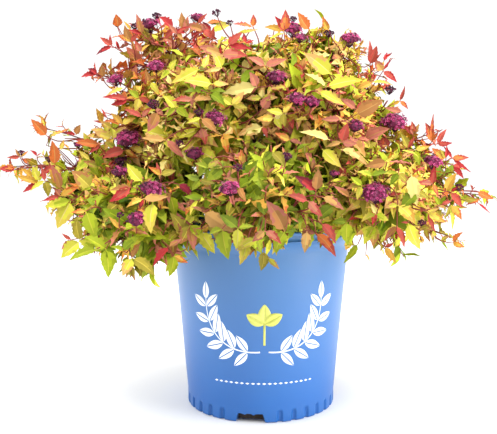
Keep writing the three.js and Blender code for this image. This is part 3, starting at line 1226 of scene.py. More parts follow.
@dataclass(frozen=True)
class LeafForm:
    """A leaf's grid: stations along it, and lines across it as shares of its half width."""

    stations: tuple[float, ...]
    lines: tuple[float, ...]
    tooth: float
    blush_from: int  # the first row of faces that takes the tip's tint
    pleats: float = 0.0  # side veins to each half; without them every other station is raised a little
    edge_lead: int = 0  # how many rows earlier the blade's outer strips take the tip's tint
    stalk: float = 0.08  # the stalk's length as a share of the blade's
    stalk_half: float = 0.5
    base_power: float = 0.62  # how round the blade is at its base
    tip_power: float = 1.2  # how long its point is drawn out
    vein_depth: float = 0.17
    vein_slant: float = 0.22
    wave_turn: float = 0.42  # how far a wave turns, in radians for each millimetre
    bow: float = 0.22
    least_curl: float = 0.02

    @property
    def grid(self) -> tuple[np.ndarray, np.ndarray, np.ndarray]:
        """The station and line of each point, and whether each station is a tooth; the tip is one point."""
        along = np.repeat(self.stations, len(self.lines))
        across = np.tile(self.lines, len(self.stations))
        tooth = np.repeat([1.0 if k % 2 else -1.0 for k in range(len(self.stations))], len(self.lines))
        return np.append(along, 1.0), np.append(across, 0.0), np.append(tooth, 0.0)

    @property
    def faces(self) -> tuple[np.ndarray, np.ndarray]:
        """The quads between stations, and the triangles that meet at the tip."""
        width, last = len(self.lines), (len(self.stations) - 1) * len(self.lines)
        quads = grid_faces(len(self.stations), width)[:, ::-1]
        tip = last + width
        closing = np.array([[last + k + 1, last + k, tip] for k in range(width - 1)])
        return quads, closing

    def points(self, leaves: "Leaves") -> np.ndarray:
        """Every leaf's points. Half the width at a share s of the blade goes with s to its base power times
        (1 - s) to its tip power, and is a little more or less at every other tooth. The rib bends down along
        an arc and bows a little to one side, the halves fold up from it, the edges wave, and the side veins'
        pleats run forward from the rib.

        Args:
            leaves: where the leaves are and how they are shaped.

        Returns:
            Leaves by points by 3.
        """
        along, across, tooth = self.grid
        outwards = np.abs(across)
        share = np.clip(along, 0.0, 1.0)
        low, high = self.base_power, self.tip_power
        peak = (low / (low + high)) ** low * (high / (low + high)) ** high
        outline = share**low * (1.0 - share) ** high / peak * (1.0 + self.tooth * tooth * outwards)
        half = np.maximum(leaves.width[:, None] / 2.0 * outline, self.stalk_half * (along < 1.0))
        length, fold = leaves.length[:, None], leaves.fold[:, None]
        bend = np.where(np.abs(leaves.curl) < self.least_curl, self.least_curl, leaves.curl)[:, None]
        arc = bend * (along + self.stalk)[None]
        edge = outwards[None] * half
        phase = self.wave_turn * (along + self.stalk)[None] * length + leaves.phase[:, None]
        wave = leaves.wave[:, None] * np.sin(phase) * edge * outwards
        slanted = along - self.vein_slant * outwards
        veins = np.sin(2.0 * math.pi * self.pleats * slanted) if self.pleats else tooth
        forward, down = length * np.sin(arc) / bend, length * (1.0 - np.cos(arc)) / bend
        rise = edge * np.sin(fold) + wave + self.vein_depth * veins * edge - down
        bow = self.bow * np.sin(3.0 * leaves.phase)[:, None] * length * share * (1.0 - share)
        flat = np.stack([forward, across[None] * half * np.cos(fold) + bow, rise], axis=-1)
        return carried(flat, leaves.root, leaves.axis, np.cross(leaves.face, leaves.axis), leaves.face)

    def looks(self, leaves: "Leaves") -> list[np.ndarray]:
        """The tint number of each face: the rib's along the middle strip, the tip's over the last rows, which
        start earlier towards the edges, and the body's elsewhere, in another shade on one half as painted
        light and shade of the fold.

        Args:
            leaves: the leaves, with the numbers of their tints.

        Returns:
            For the quads and for the tip's triangles, leaves by faces.
        """
        width = len(self.lines) - 1
        row = np.repeat(np.arange(len(self.stations) - 1), width)
        strip = np.tile(np.arange(width), len(self.stations) - 1)
        off = np.abs(strip - (width - 1) / 2.0) * 2.0 / width
        blush = row + np.round(self.edge_lead * off) >= self.blush_from
        # Painted light and shade of the fold: one half takes the neighbouring shade of the body's tint.
        other = leaves.body + np.where(leaves.body % len(SHADES) < len(SHADES) - 1, 1, -1)
        body = np.where(strip < width / 2.0, leaves.body[:, None], other[:, None])
        quads = np.where(blush, leaves.tip[:, None], body)
        quads = np.where((off == 0.0) & ~blush, leaves.rib[:, None], quads)
        return [quads, np.repeat(leaves.tip[:, None], width, axis=1)]

    def surface(self, leaves: "Leaves") -> Surface:
        """All the leaves as one surface."""
        return Surface.repeated(self.points(leaves), self.faces, self.looks(leaves))


FINE_LEAF = LeafForm(
    (-0.08, 0.0, 0.08, 0.22, 0.38, 0.54, 0.7, 0.86), (-1.0, -0.09, 0.09, 1.0), 0.12, 6, edge_lead=2
)
SHOWN_LEAF = LeafForm(
    (-0.08, 0.0, *(float(x) for x in np.linspace(0.05, 0.95, 11))), (-1.0, -0.55, -0.06, 0.06, 0.55, 1.0),
    0.09, 10, pleats=4.4, edge_lead=6,
)
COARSE_LEAF = LeafForm((-0.08, 0.06, 0.3, 0.55, 0.8), (-1.0, 0.0, 1.0), 0.0, 3)


@dataclass
class Leaves:
    """Many leaves, each a row of every array. Curl and fold are angles in radians, wave is the height of the
    edge's waves over its distance from the rib, and body, tip and rib are numbers of tints."""

    root: np.ndarray
    axis: np.ndarray
    face: np.ndarray
    length: np.ndarray
    width: np.ndarray
    curl: np.ndarray
    fold: np.ndarray
    wave: np.ndarray
    phase: np.ndarray
    body: np.ndarray
    tip: np.ndarray
    rib: np.ndarray

    @staticmethod
    def joined(batches: Sequence["Leaves"]) -> "Leaves":
        """Several batches as one."""
        names = Leaves.__dataclass_fields__
        return Leaves(*(np.concatenate([getattr(batch, name) for batch in batches]) for name in names))

    def kept(self, keep: np.ndarray) -> "Leaves":
        """Only the leaves that keep marks."""
        return Leaves(*(getattr(self, name)[keep] for name in Leaves.__dataclass_fields__))


@dataclass(frozen=True)
class LeafHabit:
    """How a shoot carries its leaves."""

    form: LeafForm
    count: tuple[int, int]
    tip_gap: float  # between the last leaves
    gap: float  # between full-grown leaves
    young_length: float
    full_length: Pair
    young_lean: float = 30.0
    old_lean: float = 62.0
    droop: float = 0.3


class Habit(Enum):
    """The kinds of shoot."""

    CROWN = LeafHabit(FINE_LEAF, (13, 17), 1.7, 6.8, 9.0, (18.0, 30.0))
    INNER = LeafHabit(COARSE_LEAF, (8, 11), 3.0, 8.0, 18.0, (24.0, 33.0), 45.0, 75.0)
    LONE = LeafHabit(FINE_LEAF, (9, 12), 2.4, 12.0, 11.0, (20.0, 28.0), 34.0, 58.0)
    BLOOMING = LeafHabit(FINE_LEAF, (10, 13), 5.0, 8.0, 14.0, (21.0, 30.0), 48.0, 66.0)


@dataclass
class Twig:
    """One twig: its line from its foot to its tip, its thickness, its leaves' habit and colours."""

    line: np.ndarray
    foot_radius: float
    tip_radius: float
    home: str
    colours: Autumn
    habit: Habit | None
    bare_tip: float = 0.0  # the length below a flower head that bears no leaves
    leaf_gap: float | None = None

    def back_from_tip(self, back: np.ndarray) -> tuple[np.ndarray, np.ndarray]:
        """Places on the twig.

        Args:
            back: distances from the tip, along the twig.

        Returns:
            The points, and the twig's directions there.
        """
        at = travelled(self.line)[-1] - back
        heading = unit(np.gradient(self.line, axis=0))
        return read_off(self.line, self.line, at), unit(read_off(self.line, heading, at))


TINTS = list(Tint)


def number_of(dealt: Sequence[Tint], shade: np.ndarray) -> np.ndarray:
    """The numbers of tints in their shades, in the list of every tint's shades."""
    return np.array([TINTS.index(t) for t in dealt]) * len(SHADES) + shade


@dataclass
class LeafMaker:
    """Sets leaves along twigs in a spiral, and tints them. A pair is a least and a most, or where its name
    says so a mean and a spread."""

    draw: np.random.Generator
    age_spread: float = 0.09
    middle_share: float = 0.36  # of a twig's leaves, after those that still have young colours
    stray_share: float = 0.25  # of the leaves, that leave their spray's tint for another of its group
    reach: float = 0.94  # the share of a twig's length, from its tip, that bears leaves
    gap: Pair = (0.75, 1.25)
    turn_spread: float = 0.18
    lean_spread: float = 8.0
    droop: Pair = (0.4, 1.5)
    light: Triple = (0.45, 0.75, 0.35)  # how far a face turns to its twig's way, to the sky and outwards
    light_spread: float = 0.22
    length: Pair = (0.84, 1.16)
    slender: Pair = (0.35, 0.54)  # width over length, of the youngest and the full-grown
    slender_range: Pair = (0.86, 1.14)
    curl_mean_spread: Pair = (0.55, 0.35)
    fold_mean_spread: Pair = (0.42, 0.2)
    wave: Pair = (0.0, 0.16)

    def tint(self, twig: Twig, age: np.ndarray) -> tuple[np.ndarray, np.ndarray, np.ndarray]:
        """Deals the tints of one spray: one young, one middle and one old tint for the spray, from its
        neighbourhood's palette, and by age from the tip down. A share strays within its group.

        Args:
            twig: the twig, for its colours.
            age: each leaf's age, 0 at the tip and 1 at the oldest.

        Returns:
            The numbers of the tints of blades, tips and ribs.
        """
        palette = twig.colours.value
        groups = [tints(names) for names in (palette.young, palette.middle, palette.old)]
        spray = [group[self.draw.integers(len(group))] for group in groups]
        shifted = age + self.draw.normal(0.0, self.age_spread, len(age))
        which = np.digitize(shifted, [palette.warmth, palette.warmth + self.middle_share])
        stray = self.draw.random(len(age)) < self.stray_share
        pick = self.draw.random(len(age))
        body = [groups[w][int(p * len(groups[w]))] if s else spray[w] for w, s, p in zip(which, stray, pick)]
        blush = self.draw.random(len(age))
        tip = [tint.blushes[int(b * len(tint.blushes))] for tint, b in zip(body, blush)]
        # The palette's shades: for the front of the skirt they are darker, as painted shade.
        shade = self.draw.choice(palette.shades, len(age))
        return tuple(number_of(dealt, shade) for dealt in (body, tip, [tint.rib for tint in body]))

    def leaves_on(self, twig: Twig) -> Leaves | None:
        """The leaves of one twig. From the tip down they stand farther apart, lean out farther and are
        longer and broader, each until so many leaves from the tip.

        Args:
            twig: the twig.

        Returns:
            Its leaves, or None if it has no room for one.
        """
        habit: LeafHabit = twig.habit.value
        wanted = int(self.draw.integers(habit.count[0], habit.count[1] + 1))
        gaps = lerp(habit.tip_gap, twig.leaf_gap or habit.gap, ease(np.arange(wanted) / 5.0))
        back = twig.bare_tip + np.cumsum(gaps * self.draw.uniform(*self.gap, wanted))
        back = back[back < self.reach * travelled(twig.line)[-1]]
        count = len(back)
        if not count:
            return None
        order = np.arange(count)
        age = order / max(wanted - 1, 1)
        root, way = twig.back_from_tip(back)
        side = square_to(way, np.broadcast_to([0.31, 0.95, 0.13], way.shape))
        first = self.draw.uniform(0, 2 * math.pi)
        turn = (first + order * GOLDEN_TURN + self.draw.normal(0, self.turn_spread, count))[:, None]
        out = np.cos(turn) * side + np.sin(turn) * np.cross(way, side)
        lean = lerp(habit.young_lean, habit.old_lean, ease(order / 6.0))
        lean = np.radians(lean + self.draw.normal(0, self.lean_spread, count))[:, None]
        drop = (habit.droop * (0.25 + 0.75 * age) * self.draw.uniform(*self.droop, count))[:, None]
        axis = unit(way * np.cos(lean) + out * np.sin(lean) - UP * drop)
        outward = unit(root * [1.0, 1.0, 0.0])
        light = self.light[0] * way + self.light[1] * UP + self.light[2] * outward
        face = square_to(axis, light + self.draw.normal(0, self.light_spread, (count, 3)))
        full = self.draw.uniform(*habit.full_length)
        length = lerp(habit.young_length, full, ease(order / 5.5)) * self.draw.uniform(*self.length, count)
        slender = lerp(*self.slender, ease(order / 4.5)) * self.draw.uniform(*self.slender_range, count)
        colours = self.tint(twig, age)
        curl = self.draw.normal(*self.curl_mean_spread, count)
        fold = np.abs(self.draw.normal(*self.fold_mean_spread, count))
        wave = self.draw.uniform(*self.wave, count)
        phase = self.draw.uniform(0, 2 * math.pi, count)
        return Leaves(root, axis, face, length, length * slender, curl, fold, wave, phase, *colours)


# ---- Flower heads ----


class Stage(Enum):
    """How far a flower head has opened, as the share of it in flower."""

    OPEN = 0.92
    HALF = 0.55
    BUD = 0.0


@dataclass(frozen=True)
class Seen:
    """A flower head that the viewer sees: its middle and width in pixels, and its stage."""

    x: float
    y: float
    width: float
    stage: Stage


# Each head's x, y, width and stage.
SEEN_HEADS = tuple(Seen(*(float(word) for word in row[:3]), Stage[row[3].upper()]) for row in rows_of("""
197 18 15 open; 150 22 20 half; 157 17 9 bud; 136 27 9 bud; 219 13 9 bud; 231 25 7 bud; 119 25 8 bud;
156 62 17 open; 118 75 16 open; 157 102 13 bud; 199 111 10 bud; 215 113 22 open; 130 132 26 open;
293 27 20 open; 298 37 13 open; 329 33 10 bud; 350 36 20 open; 294 21 8 bud; 276 73 19 open;
298 97 18 open; 312 100 15 open; 387 88 11 bud; 391 115 26 open; 353 123 17 half; 79 146 9 half;
181 140 8 bud; 194 147 17 half; 120 160 13 bud; 120 172 17 half; 152 186 26 half; 137 217 19 half;
121 215 7 bud; 49 160 8 bud; 22 155 6 bud; 231 185 21 open; 238 169 9 bud; 284 157 12 bud;
330 174 9 half; 432 159 19 open; 375 186 29 open; 456 185 9 bud; 419 218 8 bud
"""))


@dataclass(frozen=True)
class Tip:
    """A leaf of a spray that the viewer sees: its tip in pixels, its tint and its width over its length."""

    x: float
    y: float
    tint: Tint
    width: float


@dataclass(frozen=True)
class Spray:
    """Leaves that stand out to the viewer and share one foot, in pixels."""

    x: float
    y: float
    tips: tuple[Tip, ...]

    @staticmethod
    def read(words: Sequence[str]) -> "Spray":
        """Reads a spray.

        Args:
            words: x and y of the foot, then for each leaf x and y of its tip, its tint and its width in
                hundredths of its length.

        Returns:
            The spray.
        """
        tips = [
            Tip(float(words[k]), float(words[k + 1]), Tint[words[k + 2].upper()], int(words[k + 3]) / 100.0)
            for k in range(2, len(words), 4)
        ]
        return Spray(float(words[0]), float(words[1]), tuple(tips))


# The sprays that the viewer sees, one to a row: x and y of the foot, then for each leaf x and y of its tip,
# its tint and its width in hundredths of its length. First the left side, from the top down.
LEFT_SPRAYS = """
118 27  116 15 orange 70
112 46  101 37 coral 46  110 35 coral 30  97 53 red 25
131 42  120 34 amber 40  125 26 bronze 40  138 32 coral 40
186 33  182 13 bronze 40  188 17 salmon 40  174 30 red 40
131 30  125 21 amber 40
142 34  137 15 bronze 40  130 30 red 46
173 29  160 17 red 60  165 38 coral 46
203 30  215 38 coral 50  193 34 coral 46  186 26 bronze 50
97 74  89 68 red 60  82 76 red 40
103 77  102 65 bronze 55
124 88  105 94 gold 36
128 99  104 97 coral 25  112 104 red 40
102 123  97 109 amber 50  94 121 coral 30
47 136  32 120 orange 45
50 137  67 127 amber 36
76 135  63 132 red 40  80 125 bronze 60
103 137  95 128 chartreuse 50  109 127 gold 50  86 135 gold 40
89 142  77 140 orange 35  84 133 chartreuse 50  98 145 lime 50
100 167  94 153 green 50  84 161 olive 40
91 188  74 170 olive 62  82 190 lime 40
61 190  48 177 olive 40  51 166 bronze 30
94 251  112 241 lime 55  80 240 lime 50  103 246 chartreuse 50
123 251  138 235 green 50  112 246 lime 50
61 150  63 140 gold 45
55 165  52 142 orange 42  40 176 coral 30  62 178 gold 40
14 170  0 168 coral 50
40 182  17 175 amber 30  23 191 red 30  34 166 chartreuse 50
60 196  43 199 coral 30  54 187 salmon 46  78 187 amber 35
71 201  45 204 lime 40  57 227 chartreuse 50
86 211  96 237 lime 50  72 212 amber 35
80 241  77 218 olive 42  62 257 chartreuse 60  98 246 lime 50
71 240  61 248 bronze 35  63 233 coral 35
106 249  108 276 lime 50  86 236 lime 50  118 262 green 50
132 258  123 275 chartreuse 50  155 274 olive 40  140 244 bronze 40
169 247  152 263 red 40  181 238 bronze 40
174 256  169 275 lime 50  187 262 amber 40
20 157  16 149 bronze 35  8 157 coral 35  27 151 amber 30
37 156  31 150 red 40  41 153 coral 30
15 168  2 166 orange 40  6 172 red 35
33 177  22 169 amber 50  36 166 chartreuse 50  21 180 orange 40
45 181  29 188 chartreuse 35  41 167 coral 30  48 196 olive 50
60 186  50 170 amber 45  66 170 lime 50  54 200 salmon 40
106 133  92 127 gold 50  94 137 apricot 40  107 122 chartreuse 50
"""
# The top and the right side, from the top down.
RIGHT_SPRAYS = """
198 24  188 32 bronze 40  206 14 coral 30  209 30 salmon 40
177 34  170 24 salmon 40  184 40 tan 40  188 26 coral 30
253 27  234 24 orange 40  253 15 orange 50
246 43  244 33 red 40  253 40 red 40
228 45  240 31 coral 46  250 46 red 30
211 31  229 25 chartreuse 35  203 22 red 50  192 27 coral 45
207 23  220 21 orange 35  230 21 olive 20
212 39  214 28 coral 40  204 33 coral 40  199 41 tan 40
238 33  256 28 chartreuse 22
284 31  286 11 orange 50  276 17 coral 40  265 26 amber 30
309 30  299 13 orange 50  321 29 gold 20
329 31  323 17 amber 40
370 64  370 42 coral 25  376 47 coral 50  380 53 coral 20
383 71  396 81 coral 35  391 57 red 15  376 60 tan 60
372 82  392 82 chartreuse 20  357 88 amber 40
400 101  404 87 coral 25  408 108 orange 40  391 104 amber 35
413 135  412 122 salmon 45  418 124 tan 40  403 125 coral 30
432 141  426 124 orange 42  434 116 orange 15  438 132 orange 40
437 144  451 142 coral 35  446 129 coral 30
452 158  468 156 orange 40  444 147 red 25  470 170 red 15
453 165  463 178 red 30  462 168 coral 50
446 191  456 174 amber 45
451 192  463 206 coral 40  458 186 red 40
477 192  493 198 orange 40
464 200  476 199 olive 50
478 203  490 211 red 15
428 213  445 221 gold 40  438 208 gold 40  435 230 coral 25
441 241  449 235 olive 45  448 250 green 20
453 243  461 232 orange 50  464 246 amber 50
408 223  420 248 chartreuse 42  402 222 coral 40
397 226  404 246 coral 30  385 238 bronze 40
385 247  395 262 amber 35  393 243 coral 40
375 226  374 246 olive 50  364 243 lime 45
358 244  344 261 lime 30
451 205  461 219 amber 40  446 218 olive 30  453 228 chartreuse 20
440 205  446 196 green 50  434 196 lime 40  451 200 coral 35
425 226  433 218 amber 40  430 241 olive 30  418 232 gold 50
"""
# Over the rim.
RIM_SPRAYS = """
347 222  348 244 lime 50  333 222 green 50
321 223  336 242 coral 42  318 212 bronze 50
316 233  335 255 orange 35  302 230 salmon 40
307 231  305 252 apricot 42
285 231  276 252 lime 50  268 203 bronze 45
265 231  281 242 salmon 45  252 240 tan 50
247 241  240 263 chartreuse 45
264 251  261 270 olive 50
268 258  279 268 chartreuse 40  270 257 tan 40
222 229  227 258 lime 50  209 233 lime 50
203 212  232 231 tan 42  193 206 bronze 40
200 232  214 252 chartreuse 50  188 250 olive 45
238 228  221 214 green 50  253 226 lime 50  236 248 chartreuse 50
257 239  237 250 chartreuse 40  262 253 lime 40
190 225  179 243 olive 50  204 239 lime 50  194 249 bronze 40
"""
# Inside the outline.
INNER_SPRAYS = """
112 138  95 131 gold 50  104 149 amber 40  126 127 chartreuse 40
100 145  77 142 orange 35  89 153 coral 30  109 151 chartreuse 46
90 160  76 170 lime 50  79 151 gold 30  98 174 lime 50
396 140  382 136 gold 50  403 127 gold 40  406 148 red 35
415 150  400 157 tan 40  429 145 gold 40  420 164 lime 40
200 69  171 80 chartreuse 40
213 84  185 79 chartreuse 40  228 82 gold 45
222 68  213 52 chartreuse 60  205 70 straw 30
221 54  246 55 salmon 42  200 45 tan 40  220 44 red 30
265 66  249 57 salmon 45  284 57 salmon 40  251 70 bronze 30
257 87  250 73 salmon 55  224 92 straw 35
210 94  225 103 green 60
193 100  173 99 salmon 40  210 99 tan 45
158 112  147 130 bronze 50
201 118  216 131 bronze 40  187 122 chartreuse 40
263 127  239 134 straw 40  272 110 tan 50  267 137 coral 40
262 109  270 96 salmon 60
332 75  306 52 chartreuse 42
326 87  309 71 straw 45  361 80 chartreuse 33  338 83 coral 35
318 91  344 104 chartreuse 38
356 109  342 98 salmon 40  371 99 coral 40
356 115  380 99 bronze 50
341 120  322 117 salmon 40
342 142  347 124 coral 50  326 145 tan 40  356 143 salmon 50
364 140  388 129 salmon 50  359 124 coral 30
330 140  303 129 straw 30
392 142  371 147 coral 50
340 149  369 163 straw 35
322 149  340 166 chartreuse 45
387 162  411 163 salmon 35  366 166 bronze 45
122 124  106 119 orange 35  112 113 amber 40  134 117 gold 45
142 117  126 108 coral 35  151 108 salmon 40  150 124 amber 50
283 113  268 108 chartreuse 45  292 103 gold 50  285 126 olive 50
262 98  247 97 chartreuse 50  263 86 straw 50  277 96 chartreuse 50
287 88  270 89 gold 40  288 79 chartreuse 50
290 140  276 133 amber 45  302 143 salmon 40  285 151 lime 50
232 105  243 92 gold 45  221 96 chartreuse 50  247 106 olive 50
161 175  149 167 amber 40  157 163 coral 30  175 170 olive 50
208 168  196 162 lime 50  218 160 chartreuse 45  206 178 green 50
214 158  197 174 green 60  207 170 olive 50
223 167  207 179 green 60  212 168 olive 50
170 70  160 78 lime 50  176 60 chartreuse 50
150 82  160 93 chartreuse 50  146 70 bronze 40
176 108  164 96 chartreuse 60  188 117 lime 60  166 116 lime 50
139 98  129 90 lime 50  151 103 coral 40  135 110 gold 50
112 128  101 121 gold 50  113 139 chartreuse 50  121 119 lime 50
143 152  130 147 gold 50  150 141 straw 40  148 162 chartreuse 50
116 148  105 142 chartreuse 50  124 157 gold 50  109 158 apricot 40
274 118  258 117 gold 45  286 114 straw 45  281 128 chartreuse 50
362 186  352 176 lime 50  356 199 chartreuse 50  347 188 olive 50
376 214  362 221 chartreuse 50  389 219 lime 50  371 204 straw 40
372 176  386 170 green 50  359 170 lime 50
97 249  70 257 lime 34
141 52  136 41 salmon 50  148 44 amber 40
402 112  386 107 salmon 40
480 199  467 204 orange 35
333 206  317 219 green 60  330 219 olive 50
272 152  262 160 green 60  284 165 olive 60  271 168 lime 60
200 180  186 175 green 50  214 182 olive 50  192 190 lime 50
408 148  396 141 amber 50  402 134 olive 50  414 138 coral 35
446 158  433 148 amber 50  441 150 olive 50  447 146 red 30
416 192  401 206 green 62  428 198 olive 50
398 173  410 184 olive 50  390 184 green 50  384 172 lime 40
420 226  433 229 olive 50  411 214 chartreuse 50
411 174  417 204 straw 38
398 205  415 222 gold 50  385 208 chartreuse 40
433 184  417 183 salmon 50  434 167 coral 40  438 196 orange 30
322 197  344 208 tan 40
308 201  290 194 coral 42  322 215 salmon 45
316 191  296 176 red 40  319 170 bronze 45
350 197  335 186 bronze 40
166 161  172 184 salmon 35  160 146 bronze 40
131 187  111 190 bronze 40  110 200 coral 40
143 199  166 195 tan 35  140 209 red 40  127 206 gold 35
153 202  149 231 chartreuse 42
125 150  103 157 coral 45  137 157 amber 40
166 140  184 156 salmon 35  143 138 tan 35
142 182  128 164 chartreuse 45
188 240  180 212 bronze 42  171 214 olive 40
178 184  193 195 crimson 45
"""
SPRAY_ROWS = rows_of(LEFT_SPRAYS + RIGHT_SPRAYS + RIM_SPRAYS + INNER_SPRAYS)
SEEN_SPRAYS = tuple(Spray.read(row) for row in SPRAY_ROWS)


@dataclass(frozen=True)
class Gap:
    """A round gap that the viewer sees through, where no leaf grows: its middle and radius in pixels."""

    x: float
    y: float
    radius: float


# Each gap's x, y and radius.
SEEN_GAPS = tuple(Gap(*(float(word) for word in row)) for row in rows_of("""
295 240 8; 315 243 5; 316 250 4; 340 240 5; 339 248 4; 286 253 4; 272 256 3; 250 254 4; 278 222 3; 268 226 3;
275 230 3; 226 33 5; 240 29 7; 259 38 7; 257 20 7; 250 10 7; 52 119 4; 332 16 5; 347 20 5; 90 257 4; 275 22 4;
319 23 4; 338 29 3; 90 90 7; 99 86 5; 103 99 8; 118 92 4; 125 80 4; 112 109 5; 84 72 4; 68 160 5;
72 146 4; 70 166 4; 63 152 3; 39 170 4; 46 197 5; 161 267 5; 132 252 3; 146 284 6; 366 246 5;
358 239 3; 376 253 4; 388 252 4; 442 227 4; 51 126 4; 73 128 3; 59 137 4; 75 138 4; 57 144 3; 74 152 4;
88 125 4; 95 120 3; 45 190 5; 50 211 3; 51 219 3; 20 162 3; 31 157 3; 38 172 3; 124 86 3; 82 221 3;
76 215 3; 119 244 4; 141 281 4; 158 275 4; 174 20 3; 219 33 5; 226 22 4; 231 31 3; 247 33 4; 265 31 4;
311 22 4; 342 22 4; 320 34 4; 306 33 3; 336 35 4; 357 34 4; 175 46 3; 119 55 5; 115 62 3; 129 51 3;
347 59 3; 365 60 4; 375 57 3; 388 63 5; 378 75 3; 374 86 4; 405 122 5; 402 129 3; 423 132 4; 433 128 3;
445 127 3; 442 138 3; 446 151 3; 459 180 4; 481 186 4; 443 211 3; 438 227 3; 404 236 3; 361 238 4;
361 252 6; 390 239 3; 378 245 3; 380 258 4; 463 213 4; 403 117 5; 375 86 3; 390 97 3; 447 131 4;
386 68 3
"""))


@dataclass
class Head:
    """One flower head: the top of its dome, the way it faces, its width, stage and node."""

    top: np.ndarray
    axis: np.ndarray
    width: float
    stage: Stage
    home: str


